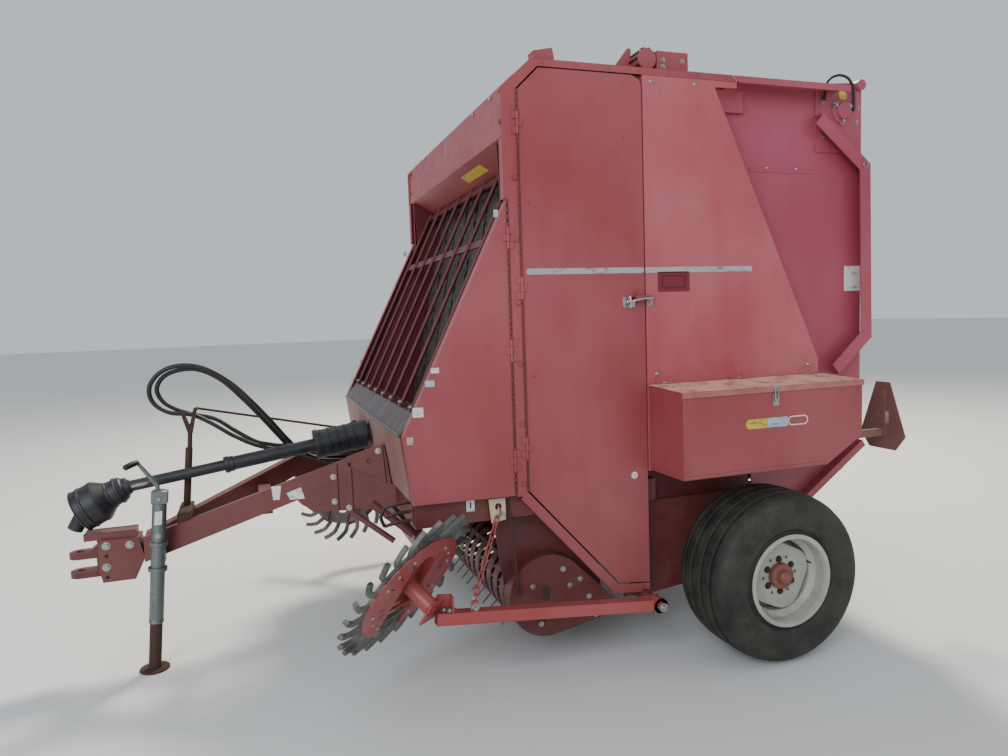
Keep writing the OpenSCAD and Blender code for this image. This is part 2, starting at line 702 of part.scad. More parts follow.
lid_hinge_y = shield_y + 7;
lid_hinge_z = box_top_z + 1.5;
lid_hinges = [-440, -40, 360];

// One part of a lid hinge from x0 to x1, with the room for its pin.
module lid_knuckle(x0, x1) difference() {
    translate([x0, lid_hinge_y, lid_hinge_z]) rotate([0, 90, 0])
        cylinder(r = knuckle_r, h = x1 - x0, $fn = 24);
    translate([x0 - 1, lid_hinge_y, lid_hinge_z]) rotate([0, 90, 0])
        cylinder(r = hinge_pin_r + running, h = x1 - x0 + 2, $fn = 24);
}

// The fixed parts of the lid's hinges, on the rear shield.
module lid_hinge_base() for (x = lid_hinges) {
    for (at = [x - knuckle_len - 1, x + knuckle_len + 1]) {
        translate([at, lid_hinge_y, lid_hinge_z]) rotate([0, 90, 0])
            cylinder(r = knuckle_r, h = knuckle_len, $fn = 24);
        translate([at, shield_y - eps, lid_hinge_z]) cube([knuckle_len, 4, 26]);
    }
    translate([x - 2, lid_hinge_y, lid_hinge_z]) rotate([0, 90, 0])
        cylinder(r = hinge_pin_r, h = knuckle_len + 4, $fn = 24);
}

module twine_lid() on_machine() to_side(LEFT) color(red) {
    for (x = lid_hinges) {
        lid_knuckle(x, x + knuckle_len);
        translate([x, lid_hinge_y, box_top_z - 6 + seat]) cube([knuckle_len, 12, sheet_t]);
    }
    translate([box_front_x - 6, lid_hinge_y + 1, box_top_z - 6 + seat])
        rotate([-atan2(lid_drop, box_depth), 0, 0]) {
            difference() {
                cube([box_rear_x - box_front_x + 12, box_depth - 2, sheet_t]);
                // room for the fixed knuckles
                for (x = lid_hinges) translate([x - box_front_x + 6 - knuckle_len - 3, -1, -1])
                    cube([3 * knuckle_len + 6, knuckle_r + 2, sheet_t + 2]);
            }
            translate([0, box_depth - 6, -22]) cube([box_rear_x - box_front_x + 12, sheet_t, 24]);
        }
}

// Rollers and belts

roller_half_w = wall_y - wall_t;
front_path = [[-1165, 1010], [-240, roof_z - 180], [-840, roof_z - 150]];
gate_path = [[230, 610], [665, 790], [665, roof_z - 90], [60, roof_z - 210]];

module roller(p) {
    y_bar(p.x, p.y, -roller_half_w + 10, roller_half_w - 10, roller_r);
    y_bar(p.x, p.y, -roller_half_w, roller_half_w, 22);
}

module belts(path) for (i = [0 : belt_count - 1])
    translate([0, (i - (belt_count - 1) / 2) * belt_pitch, 0]) xz(-belt_w / 2, belt_w / 2) difference() {
        polygon(belt_line(path, roller_r + seat + belt_t));
        polygon(belt_line(path, roller_r + seat));
    }

module front_rollers() on_machine() color(black) {
    for (p = front_path) roller(p);
    roller([-620, 530]);
    roller([-180, 560]);
}

module front_belts() on_machine() color(rubber) belts(front_path);

module tension_unit() on_machine() to_side(LEFT) color(red) {
    translate([-640, 780, roof_z + seat]) cube([500, 110, 16]);
    xz(800, 806) polygon([[-600, roof_z + 10], [-490, roof_z + 10], [-490, roof_z + 126],
                          [-508, roof_z + 126]]);
    translate([-400, 800, roof_z + 10]) cube([160, 80, 90]);
    y_bar(-450, roof_z + 62, 770, 880, 46);
    translate([-995, 840, roof_z + seat]) rotate([0, -12, 0]) cube([90, 60, 46]);
}

// Pickup

tine_pitch = 2 * (pickup_half_w - tine_margin) / (tine_count - 1);
tube_x = -745;
hanger_z = 735 - seat;
end_plate = [[-1246, hanger_z], [-1194, hanger_z], [-1180, 690], [-790, 690], [-720, 560], [-700, 240],
             [-1010, 150], [-1160, 230], [-1215, 640]];
reel_shaft_r = 25;
tine_bar_r = 150;

module pickup_frame() on_machine() color(dark_red) {
    for (side = [LEFT, RIGHT]) to_side(side) {
        difference() {
            xz(pickup_half_w, pickup_half_w + 8) polygon(end_plate);
            y_bar(reel_x, reel_z, 0, 900, reel_shaft_r + running);
        }
        // drive cover outside the end plate
        difference() {
            xz(pickup_half_w + 8, pickup_half_w + 90) hull() {
                translate([reel_x, reel_z]) circle(r = 185, $fn = 64);
                translate([-705, 250]) circle(r = 42, $fn = 32);
            }
            xz(pickup_half_w + 7, pickup_half_w + 84) hull() {
                translate([reel_x, reel_z]) circle(r = 179, $fn = 64);
                translate([-705, 250]) circle(r = 36, $fn = 32);
            }
        }
    }
    translate([-1000, -pickup_half_w, 640]) cube([80, 2 * pickup_half_w, 60]);
    translate([tube_x, -pickup_half_w, 250]) cube([40, 2 * pickup_half_w, 40]);
    // bands between the tines
    for (i = [0 : tine_count]) translate([0, (i - tine_count / 2) * tine_pitch, 0]) {
        xz(-30, 30) polygon(bent(concat(
            [[tube_x + 20, 290], [-790, 230]],
            [for (a = [-90 : -15 : -270]) [reel_x, reel_z] + band_r * [cos(a), sin(a)]],
            [[-940, 560], [-930, 645]]), -4));
    }
}

module pickup_reel() on_machine() color(steel) {
    y_bar(reel_x, reel_z, -pickup_half_w - 40, pickup_half_w + 40, reel_shaft_r);
    y_bar(reel_x, reel_z, -pickup_half_w + 12, -pickup_half_w + 18, tine_bar_r + 15);
    y_bar(reel_x, reel_z, pickup_half_w - 18, pickup_half_w - 12, tine_bar_r + 15);
    for (a = [45 : 90 : 315]) translate([reel_x, 0, reel_z]) rotate([0, a, 0]) {
        y_bar(tine_bar_r, 0, -pickup_half_w + 14, pickup_half_w - 14, 12);
        for (i = [0 : tine_count - 1])
            translate([tine_bar_r, (i - (tine_count - 1) / 2) * tine_pitch, 0]) rotate([0, 90, 0])
                cylinder(r = 4, h = tine_tip_r - tine_bar_r, $fn = 6);
    }
}

// Rake wheels

rake_axis = [cos(rake_dip) * cos(rake_turn), cos(rake_dip) * sin(rake_turn), -sin(rake_dip)];
rake_middle = [rake_x, rake_y, rake_z];
rake_pin_r = 19;
rake_hub_len = 120;
finger_t = 13;
finger_depth = 27;
finger_w = 26;
finger_root_r = 172;
plate_r = rake_plate_d / 2;
channel_half_w = 75;
channel_depth = 45;
channel_end = 95;
channel_wall = 5;
bracket_at = rake_middle + rake_axis * (rake_hub_len + 16);

module at_rake() translate(rake_middle) rotate([0, 90 + rake_dip, rake_turn]) children();

// One finger of moulded rubber, swept along the turn and hooked back at its tip.
module finger() {
    r1 = rake_tip_d / 2;
    polygon(bent([[plate_r - 30, -finger_w / 2], [plate_r + 28, -10], [r1 - 50, 10], [r1 - 22, 34],
                  [r1 - 10, 36]], finger_w));
}

// Outline of the channel pressed across the plate, from x0 to its round end and grown by g.
module channel_outline(x0, g) {
    half = channel_half_w + g;
    translate([x0, -half]) square([channel_end - x0, 2 * half]);
    translate([channel_end, 0]) circle(r = half);
}

module rake_wheel(side) on_machine() to_side(side) color(red) at_rake() difference() {
    union() {
        translate([0, 0, -4]) linear_extrude(8) difference() {
            circle(r = plate_r);
            channel_outline(-plate_r - 1, -channel_wall);
        }
        // the channel: its walls, its floor and the low wall towards its mouth
        translate([0, 0, -channel_depth]) linear_extrude(channel_depth + 4) difference() {
            channel_outline(-150, 0);
            channel_outline(-151, -channel_wall);
        }
        translate([0, 0, -channel_depth]) linear_extrude(6) channel_outline(-150, 0);
        translate([-150, -channel_half_w, -channel_depth])
            cube([channel_wall, 2 * channel_half_w, channel_depth - 4]);
        translate([0, 0, -channel_depth]) cylinder(r = 44, h = channel_depth + rake_hub_len);
    }
    translate([0, 0, -24]) cylinder(r = rake_pin_r + running, h = rake_hub_len + 30);
}

// Ring of rubber behind the plate, with its fingers.
module rake_fingers(side) on_machine() to_side(side) color(rubber) at_rake() difference() {
    translate([0, 0, -4 - seat - finger_t]) linear_extrude(finger_depth) difference() {
        union() {
            circle(r = plate_r - 2);
            for (i = [0 : finger_count - 1]) rotate(360 / finger_count * i) finger();
        }
        circle(r = finger_root_r);
    }
    translate([0, 0, -4 - seat]) cylinder(r = plate_r + 2, h = finger_depth);
}

arm_front = [bracket_at.x + 10, bracket_at.z - 40];

module rake_arm(side) on_machine() to_side(side) color(red) {
    d = [arm_front.x - arm_pivot_x, arm_front.y - arm_pivot_z];
    length = norm(d);
    lift = atan2(d.y, -d.x);
    translate([arm_pivot_x, arm_y, arm_pivot_z]) rotate([0, lift, 0]) difference() {
        translate([-length, -arm_side / 2, -arm_side / 2]) cube([length - 33, arm_side, arm_side]);
        translate([-length - 1, 5 - arm_side / 2, 5 - arm_side / 2])
            cube([length - 60, arm_side - 10, arm_side - 10]);
    }
    difference() {
        y_bar(arm_pivot_x, arm_pivot_z, arm_y - 30, arm_y + 30, 34);
        y_bar(arm_pivot_x, arm_pivot_z, arm_y - 31, arm_y + 31, arm_pivot_r + running);
    }
    at_rake() {
        translate([0, 0, -20]) cylinder(r = rake_pin_r, h = rake_hub_len + 40);
        translate([-45, -45, rake_hub_len + 6]) cube([110, 90, 10]);
    }
    translate([chain_foot.x - 15, arm_y - 5, chain_foot.z - 32]) cube([30, 10, 40]);
}

// Chain that holds the arm up

chain_foot = [-1389, arm_y - 16.6, 425];
chain_head = [chain_top.x, rail_y1 + 14.4, chain_top.z];
link_len = 46;
link_w = 26;
wire = 7;
link_pitch = link_len - 2 * wire - 2.4;

module link() linear_extrude(wire, center = true) difference() {
    union() {
        square([link_len - link_w, link_w], center = true);
        for (s = [-1, 1]) translate([s * (link_len - link_w) / 2, 0]) circle(d = link_w, $fn = 12);
    }
    square([link_len - link_w, link_w - 2 * wire], center = true);
    for (s = [-1, 1]) translate([s * (link_len - link_w) / 2, 0]) circle(d = link_w - 2 * wire, $fn = 12);
}

module rake_chain(side) on_machine() to_side(side) color(red) {
    run = chain_head - chain_foot;
    count = floor(norm(run) / link_pitch);
    translate(chain_foot) rotate([0, acos(run.z / norm(run)), atan2(run.y, run.x)]) rotate([0, -90, 0])
        for (i = [0 : count - 1]) translate([(i + 0.5) * link_pitch, 0, 0])
            rotate([90 * (i % 2), 0, 0]) link();
}

// Tailgate

gate_outline = [[150, 520], [440, 601], [808, 860], [808, roof_z + 55], [60, roof_z - 5],
                [20, roof_z - 10], [pivot.x + 90, roof_z - 38],
                [pivot.x + 66, pivot.y - 50], [pivot.x + 66, pivot.y - 90]];
channel_line = [[515, roof_z - 125], [811, roof_z - 357], [826, 1420], [620, 1240]];

module gate_side(side) on_machine() to_side(side) color(red) {
    xz(wall_y - wall_t, wall_y) polygon(gate_outline);
    // ear that turns on the pivot pin
    difference() {
        union() {
            y_bar(pivot.x, pivot.y, wall_y + 6, wall_y + 20, 50);
            translate([pivot.x, wall_y + 6, pivot.y - 50]) cube([200, 14, 100]);
            translate([pivot.x + 72, wall_y - eps, pivot.y - 50]) cube([128, 20, 90]);
        }
        y_bar(pivot.x, pivot.y, wall_y, wall_y + 30, gate_pin_d / 2 + running);
    }
    // lug beside the eye of the cylinder's rod
    y_bar(rod_eye.x, rod_eye.y, wall_y + 6, cyl_y - 22, 40);
    translate([rod_eye.x, wall_y + 6, rod_eye.y - 38]) cube([120, cyl_y - 22 - wall_y - 6, 76]);
    translate([0, wall_y - eps, rod_eye.y - 38]) cube([90, 16, 76]);
    // roof rail behind the scarf
    xz(shield_y - 5, shield_y) polygon([rail_cut[0] + [rail_gap, 0], rail_cut[1] + [rail_gap, 0],
                                        [638, roof_z], [638, top_rail_z]]);
    translate([30, wall_y - eps, roof_z - 5]) cube([608, shield_y - 5 - wall_y + 2 * eps, 5]);
    // folded channel on the outside of the wall
    xz(wall_y, wall_y + 60) polygon(bent(channel_line, -6));
    xz(wall_y + 54, wall_y + 60) polygon(bent(channel_line, -66));
    // rim channel along the rear lower edge
    xz(wall_y, wall_y + 50) polygon(bent([[430, 598], [800, 858]], 36));
    // bearing plate
    xz(wall_y, wall_y + 6)
        polygon([[516, roof_z - 300], [800, roof_z - 300], [800, roof_z + 40], [516, roof_z + 10]]);
}

cross_x = 752;
cross_w = 52;

module gate_cross() on_machine() color(dark_red) {
    // columns: z of the lower edge, height
    for (t = [[roof_z - 50, 70], [1500, 60], [870, 60]])
        translate([cross_x, -roller_half_w, t[0]]) cube([cross_w, 2 * roller_half_w, t[1]]);
}

module gate_rollers() on_machine() color(black) for (p = gate_path) roller(p);

module gate_belts() on_machine() color(rubber) belts(gate_path);

sign_y = -794;
sign_t = 4;
sign_arm_z = 880;

module rear_sign() on_machine() color(rust) {
    translate([rear_end_x - sign_t, sign_y, 986]) rotate([90, 0, 90]) linear_extrude(sign_t)
        polygon([[-87, -176], [87, -176], [149, -97], [46, 185], [-46, 185], [-149, -97]]);
    // arm from the gate's lowest cross tube, with an upright strap
    arm_x = cross_x + cross_w + seat;
    translate([arm_x, sign_y - 12, sign_arm_z]) cube([rear_end_x - sign_t - arm_x + eps, 24, 40]);
    translate([rear_end_x - sign_t - 10, sign_y - 20, sign_arm_z]) cube([10 + eps, 40, 250]);
}

// Tailgate cylinders between chamber wall and shield

barrel_at = [-330, 1250];
rod_eye = [-30, roof_z - 390];
cyl_y = 868;
cyl_pin_r = 16;
cyl_run = rod_eye - barrel_at;
cyl_len = norm(cyl_run);
cyl_lean = atan2(cyl_run.x, cyl_run.y);
barrel_len = 700;

module at_cylinder() translate([barrel_at.x, cyl_y, barrel_at.y]) rotate([0, cyl_lean, 0]) children();

module barrel(side) on_machine() to_side(side) color(black) at_cylinder() difference() {
    union() {
        translate([0, 0, 30]) cylinder(r = 30, h = barrel_len - 30);
        y_bar(0, 0, -22, 22, 28);
        translate([-18, -18, 0]) cube([36, 36, 60]);
    }
    y_bar(0, 0, -30, 30, cyl_pin_r + running);
    translate([0, 0, 60]) cylinder(r = 18.2, h = barrel_len);
}

// The rod, with the pin that stands in its eye beside the tailgate's lug.
module rod(side) on_machine() to_side(side) color(steel) at_cylinder() {
    translate([0, 0, 100]) cylinder(r = 18, h = cyl_len - 122);
    y_bar(0, cyl_len, -20, 20, 26);
    y_bar(0, cyl_len, seat - 22, 26, cyl_pin_r);
}

// Hoses

function hose_radius_ring(p, q, r, sides) =
    let (t = (q - p) / norm(q - p),
         u0 = abs(t.y) < 0.9 ? [0, 1, 0] : [1, 0, 0],
         u = let (w = u0 - (u0 * t) * t) w / norm(w),
         v = cross(t, u))
    [for (k = [0 : sides - 1]) p + r * (cos(360 * k / sides) * u + sin(360 * k / sides) * v)];

// Point of the smooth curve through the points p, at the place t counted in points.
function curve_point(p, t) =
    let (n = len(p), i = min(floor(t), n - 2), f = t - i,
         a = p[max(i - 1, 0)], b = p[i], c = p[i + 1], d = p[min(i + 2, n - 1)])
    0.5 * ((2 * b) + (c - a) * f + (2 * a - 5 * b + 4 * c - d) * f * f + (3 * b - a - 3 * c + d) * f * f * f);

hose_rings = 40;

module hose(route, d) {
    sides = 8;
    n = hose_rings;
    c = [for (i = [0 : n - 1]) curve_point(route, i * (len(route) - 1) / (n - 1))];
    rings = [for (i = [0 : n - 1])
        hose_radius_ring(c[i], i < n - 1 ? c[i + 1] : 2 * c[i] - c[i - 1], d / 2, sides)];
    points = [for (ring = rings) for (p = ring) p];
    faces = concat(
        [[for (k = [0 : sides - 1]) k]],
        [for (i = [0 : n - 2]) for (k = [0 : sides - 1])
            let (a = i * sides, b = a + sides, m = (k + 1) % sides) [a + k, b + k, b + m, a + m]],
        [[for (k = [sides - 1 : -1 : 0]) (n - 1) * sides + k]]);
    polyhedron(points, faces, convexity = 6);
}

hose_d = 22;
route_a = [[-1619.9, 105, 950], [-1649.6, 105, 946.1], [-1694.3, 105, 940.2], [-1840, 90, 934],
           [-1960, 74, 934], [-2078, 66, 944],
           [-2198, 60, 980], [-2306, 58, 1040], [-2400, 56, 1108], [-2490, 58, 1158], [-2590, 56, 1176],
           [-2660, 52, 1232], [-2668, 48, 1310], [-2612, 44, 1378], [-2520, 42, 1404], [-2408, 42, 1381],
           [-2300, 46, 1306], [-2205, 56, 1202], [-2120, 78, 1096], [-2050, 108, 1000], [-1975, 132, 915],
           [-1870, 142, 860], [-1760, 147, 845], [-1687.2, 148, 849.8], [-1642.6, 148, 855.5],
           [-1607.9, 148, 860]];
route_b = [[-1621.3, 150, 960], [-1651, 150, 956.1], [-1695.7, 149.5, 950.2], [-1840, 114, 952],
           [-1960, 98, 952], [-2078, 92, 962],
           [-2190, 86, 992], [-2290, 82, 1056], [-2380, 82, 1124], [-2470, 83, 1152], [-2550, 82, 1182],
           [-2615, 78, 1228], [-2640, 74, 1292], [-2605, 70, 1352], [-2530, 67, 1381], [-2440, 67, 1376],
           [-2340, 71, 1318], [-2245, 80, 1216], [-2155, 102, 1104], [-2080, 132, 1004], [-2010, 158, 918],
           [-1900, 172, 872], [-1765, 179, 860], [-1688.8, 180, 861.8], [-1644.2, 180, 867.5],
           [-1609.5, 180, 872]];

module hose_a() on_machine() color(black) hose(route_a, hose_d);
module hose_b() on_machine() color(black) hose(route_b, hose_d);

axle_beam();
frame_side(LEFT);  // frame_side_left
frame_side(RIGHT);  // frame_side_right
on_machine() color(dark_red) cross_tubes();
drawbar();
hitch_clevis();
jack_tube();
jack_crank();
jack_leg();
driveline();
gearbox();
hose_stand();
front_wall();
apron();
header();
grille();
side_wall(LEFT);  // side_wall_left
side_wall(RIGHT);  // side_wall_right
shield_frame(LEFT);  // shield_frame_left
shield_frame(RIGHT);  // shield_frame_right
front_shield(LEFT);  // front_shield_left
front_shield(RIGHT);  // front_shield_right
side_door(LEFT);  // side_door_left
side_door(RIGHT);  // side_door_right
rear_shield(LEFT);  // rear_shield_left
rear_shield(RIGHT);  // rear_shield_right
twine_box();
twine_lid();
front_rollers();
front_belts();
tension_unit();
pickup_frame();
pickup_reel();
rake_arm(LEFT);  // rake_arm_left
rake_arm(RIGHT);  // rake_arm_right
rake_chain(LEFT);  // rake_chain_left
rake_chain(RIGHT);  // rake_chain_right
rake_wheel(LEFT);  // rake_wheel_left
rake_wheel(RIGHT);  // rake_wheel_right
rake_fingers(LEFT);  // rake_fingers_left
rake_fingers(RIGHT);  // rake_fingers_right
gate_side(LEFT);  // gate_side_left
gate_side(RIGHT);  // gate_side_right
gate_cross();
gate_rollers();
gate_belts();
rear_sign();
barrel(LEFT);  // barrel_left
barrel(RIGHT);  // barrel_right
rod(LEFT);  // rod_left
rod(RIGHT);  // rod_right
rim(LEFT);  // rim_left
rim(RIGHT);  // rim_right
tyre(LEFT);  // tyre_left
tyre(RIGHT);  // tyre_right
hose_a();
hose_b();
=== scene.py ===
"""Looks of a round baler with rake wheels: finishes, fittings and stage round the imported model.

Lengths are millimetres counted from the axle, as in the part's source, until they enter a mesh.
Side pieces are drawn on the right and mirrored to the left.
"""

from __future__ import annotations

import json
import logging
import math
from dataclasses import dataclass, field
from enum import Enum
from typing import Callable, Sequence

import bmesh
import bpy
from mathutils import Matrix, Vector

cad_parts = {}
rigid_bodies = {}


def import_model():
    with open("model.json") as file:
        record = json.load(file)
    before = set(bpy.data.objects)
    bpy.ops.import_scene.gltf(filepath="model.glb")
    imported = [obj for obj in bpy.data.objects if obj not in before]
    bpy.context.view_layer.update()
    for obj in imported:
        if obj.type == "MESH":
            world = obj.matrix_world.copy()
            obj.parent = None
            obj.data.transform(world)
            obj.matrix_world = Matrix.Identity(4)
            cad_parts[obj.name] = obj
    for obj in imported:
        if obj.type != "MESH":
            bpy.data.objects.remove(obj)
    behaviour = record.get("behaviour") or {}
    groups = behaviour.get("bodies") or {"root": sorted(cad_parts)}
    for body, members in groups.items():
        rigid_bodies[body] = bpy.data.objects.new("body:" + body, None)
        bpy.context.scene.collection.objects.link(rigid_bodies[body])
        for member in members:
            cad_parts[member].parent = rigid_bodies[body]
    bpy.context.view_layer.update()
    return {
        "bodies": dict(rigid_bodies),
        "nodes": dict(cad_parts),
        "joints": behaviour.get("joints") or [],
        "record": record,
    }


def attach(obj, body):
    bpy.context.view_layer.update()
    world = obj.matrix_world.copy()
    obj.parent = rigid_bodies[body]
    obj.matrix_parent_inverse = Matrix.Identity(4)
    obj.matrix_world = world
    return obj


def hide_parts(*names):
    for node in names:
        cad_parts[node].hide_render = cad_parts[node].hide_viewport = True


LOG = logging.getLogger("baler")
Point = Sequence[float]
Outline = Sequence[Point]
Socket = bpy.types.NodeSocket
Tree = bpy.types.NodeTree
Given = bpy.types.bpy_prop_collection
Inputs = Sequence[tuple[str, str, object]]
Flat = list[tuple[float, float]]

AXLE_X = 1025.0
LEFT, RIGHT = -1, 1
SIDES = {LEFT: "left", RIGHT: "right"}
SHIELD_Y = 940.0
WALL_Y = 830.0
ROOF_Z = 2650.0
# a film's middle stands this far off its wall
FILM_OFF = 0.3

TO_LEFT, TO_RIGHT = (0, -1, 0), (0, 1, 0)
TO_FRONT, UP = (-1, 0, 0), (0, 0, 1)


def at(x: float, y: float, z: float) -> Vector:
    """A point in millimetres from the axle, as metres in the model's frame."""
    return Vector(((x + AXLE_X) / 1000, y / 1000, z / 1000))


def add(tree: Tree, kind: str, links: dict | Sequence = (), out: int | str = 0,
        **settings: object) -> Socket | None:
    """Adds a node with its settings and its inputs.

    Args:
        tree: The tree that gets the node.
        kind: Blender's type name of the node.
        links: What goes into its inputs, by name or number or in order. A socket is linked, a list of
            sockets is linked into one input, and any other value is set.
        out: Name or number of the output that is returned.
        settings: Attributes of the node.

    Returns:
        The chosen output, or None for a node without outputs.
    """
    made = tree.nodes.new(kind)
    for key, value in settings.items():
        setattr(made, key, value)
    for key, value in links.items() if isinstance(links, dict) else enumerate(links):
        several = value if isinstance(value, list) else [value]
        if all(isinstance(one, Socket) for one in several):
            for one in several:
                tree.links.new(one, made.inputs[key])
        else:
            made.inputs[key].default_value = value
    return made.outputs[out] if made.outputs else None


def linear(hex_colour: str) -> tuple[float, float, float, float]:
    """An sRGB hex colour as the linear colour that a shader takes."""
    parts = [int(hex_colour[i : i + 2], 16) / 255 for i in (1, 3, 5)]
    done = [c / 12.92 if c <= 0.04045 else ((c + 0.055) / 1.055) ** 2.4 for c in parts]
    return (*done, 1.0)


@dataclass(frozen=True)
class Finish:
    """A surface: its name and the way its nodes are made."""

    name: str

    def material(self) -> bpy.types.Material:
        """The material of this finish, made once."""
        known = bpy.data.materials.get(self.name)
        if known:
            return known
        made = bpy.data.materials.new(self.name)
        made.use_nodes = True
        made.node_tree.nodes.clear()
        surface = add(made.node_tree, "ShaderNodeBsdfPrincipled")
        add(made.node_tree, "ShaderNodeOutputMaterial", {"Surface": surface})
        self.paint(made.node_tree, surface.node)
        return made

    def paint(self, tree: Tree, shader: bpy.types.Node) -> None:
        """Sets the shader's colour, gloss and relief."""
        raise NotImplementedError


MATH, MIX, RANGE = "ShaderNodeMath", "ShaderNodeMix", "ShaderNodeMapRange"
TIMES = {"operation": "MULTIPLY", "use_clamp": True}
PLUS = {"operation": "ADD", "use_clamp": True}
# a colour mix has its share in input 0 and its two colours in 6 and 7
COLOUR = {"out": 2, "data_type": "RGBA"}


def noise(tree: Tree, size_mm: float, stretch: Point = (1, 1, 1), detail: float = 3.0,
          rough: float = 0.55) -> Socket:
    """Noise whose patches are about size_mm across, stretched along the axes.

    Args:
        tree: The material's tree.
        size_mm: Size of a patch.
        stretch: How much longer a patch is along X, Y and Z.
        detail: Octaves of the noise.
        rough: Share of the finer octaves.

    Returns:
        The noise's value, 0 to 1.
    """
    place = add(tree, "ShaderNodeTexCoord", out="Object")
    scale = [1000 / size_mm / s for s in stretch]
    mapped = add(tree, "ShaderNodeMapping", {"Vector": place, "Scale": scale})
    return add(tree, "ShaderNodeTexNoise", {"Vector": mapped, "Scale": 1.0, "Detail": detail,
                                            "Roughness": rough})


def relief(tree: Tree, shader: bpy.types.Node, layers: Sequence[tuple[Socket, float, float]],
           rounding_mm: float = 0.0) -> None:
    """Adds bump layers to the shader.

    Args:
        tree: The material's tree.
        shader: The shader whose normal is set.
        layers: Height socket, strength and height in millimetres of each layer.
        rounding_mm: Radius by which the solid's edges look rounded.
    """
    normal = None
    if rounding_mm:
        normal = add(tree, "ShaderNodeBevel", {"Radius": rounding_mm / 1000}, samples=4)
    for height, strength, depth_mm in layers:
        links = {"Height": height, "Strength": strength, "Distance": depth_mm / 1000}
        if normal is not None:
            links["Normal"] = normal
        normal = add(tree, "ShaderNodeBump", links)
    tree.links.new(normal, shader.inputs["Normal"])


def worn_edges(tree: Tree, radius_mm: float) -> Socket:
    """How near a point is to an edge of its solid, 0 to 1, from a rounded copy of the normal."""
    soft = add(tree, "ShaderNodeBevel", {"Radius": radius_mm / 1000}, samples=4)
    plain = add(tree, "ShaderNodeNewGeometry", out="Normal")
    dot = add(tree, "ShaderNodeVectorMath", [soft, plain], out="Value", operation="DOT_PRODUCT")
    return add(tree, RANGE, [dot, 0.985, 0.75])


@dataclass(frozen=True)
class Enamel(Finish):
    """Machinery enamel sprayed on pressed steel and chalked by sun.

    It gives the eye a soft, slightly patchy colour with faint rain marks, dust on upward faces, painted shade
    that darkens the lower parts, chips along the edges and a slight orange peel.
    """

    fresh: str
    faded: str
    chip: str = "#3b2a24"
    # colour of dust on upward faces and of the painted shade on low parts; dusty sets its share
    dust: str = "#6b4a40"
    fade: float = 0.5
    dusty: float = 0.35
    gloss: float = 0.42
    wear: float = 0.7
    rusty: float = 0.25

    def paint(self, tree: Tree, shader: bpy.types.Node) -> None:
        """Builds fading, rain marks, dust with painted shade low down, chips and orange peel."""
        patches = noise(tree, 700, (1, 1, 1.2), 3.0)
        marks = noise(tree, 60, (1, 1, 6), 4.0, 0.6)
        cloud = noise(tree, 90, (1, 1, 1), 5.0, 0.65)
        slow = add(tree, MATH, [add(tree, RANGE, [patches, 0.3, 0.7]), 0.84], **TIMES)
        rain = add(tree, MATH, [add(tree, RANGE, [marks, 0.35, 0.7]), 0.16], **TIMES)
        fading = add(tree, MATH, [slow, rain], **PLUS)
        least, most = max(self.fade - 0.4, 0), min(self.fade + 0.4, 1)
        share = add(tree, RANGE, [fading, 0.15, 0.95, least, most])
        base = add(tree, MIX, {0: share, 6: linear(self.fresh), 7: linear(self.faded)}, **COLOUR)
        # dust lies on what faces up; the darkening of the lowest parts is painted shade near the ground
        place = add(tree, "ShaderNodeTexCoord", out="Object")
        height = add(tree, "ShaderNodeSeparateXYZ", [place], out="Z")
        normal = add(tree, "ShaderNodeNewGeometry", out="Normal")
        facing = add(tree, "ShaderNodeSeparateXYZ", [normal], out="Z")
        # painted shade: darker towards the ground
        low = add(tree, MATH, [add(tree, RANGE, [height, 1.5, 0.25]), 0.6], **TIMES)
        lying = add(tree, MATH, [add(tree, RANGE, [facing, 0.35, 0.95]), 0.7], **TIMES)
        low_shade_plus_top_face = add(tree, MATH, [low, lying], **PLUS)
        dust_and_painted_light = add(tree, MATH, [low_shade_plus_top_face, add(tree, RANGE, [cloud, 0.25, 0.7])], **TIMES)
        share = add(tree, MATH, [dust_and_painted_light, self.dusty * 2], **TIMES)
        base = add(tree, MIX, {0: share, 6: base, 7: linear(self.dust)}, **COLOUR)
        specks = add(tree, RANGE, [noise(tree, 26, (1, 1, 1.6), 6.0, 0.7), 0.66, 0.74])
        share = add(tree, MATH, [specks, self.rusty], **TIMES)
        base = add(tree, MIX, {0: share, 6: base, 7: linear(self.chip)}, **COLOUR)
        flakes = add(tree, RANGE, [noise(tree, 17, detail=5.0), 0.42, 0.58, 0.0, self.wear])
        edge = add(tree, MATH, [worn_edges(tree, 3.0), flakes], **TIMES)
        base = add(tree, MIX, {0: edge, 6: base, 7: linear(self.chip)}, **COLOUR)
        tree.links.new(base, shader.inputs["Base Color"])
        matt = add(tree, RANGE, [cloud, 0.2, 0.8, self.gloss - 0.1, self.gloss + 0.16])
        tree.links.new(matt, shader.inputs["Roughness"])
        shader.inputs["IOR"].default_value = 1.5
        dents, peel = noise(tree, 420, detail=1.0), noise(tree, 3, detail=2.0)
        relief(tree, shader, [(dents, 0.45, 7.0), (peel, 0.12, 0.25), (edge, 0.35, -0.5)], rounding_mm=1.6)


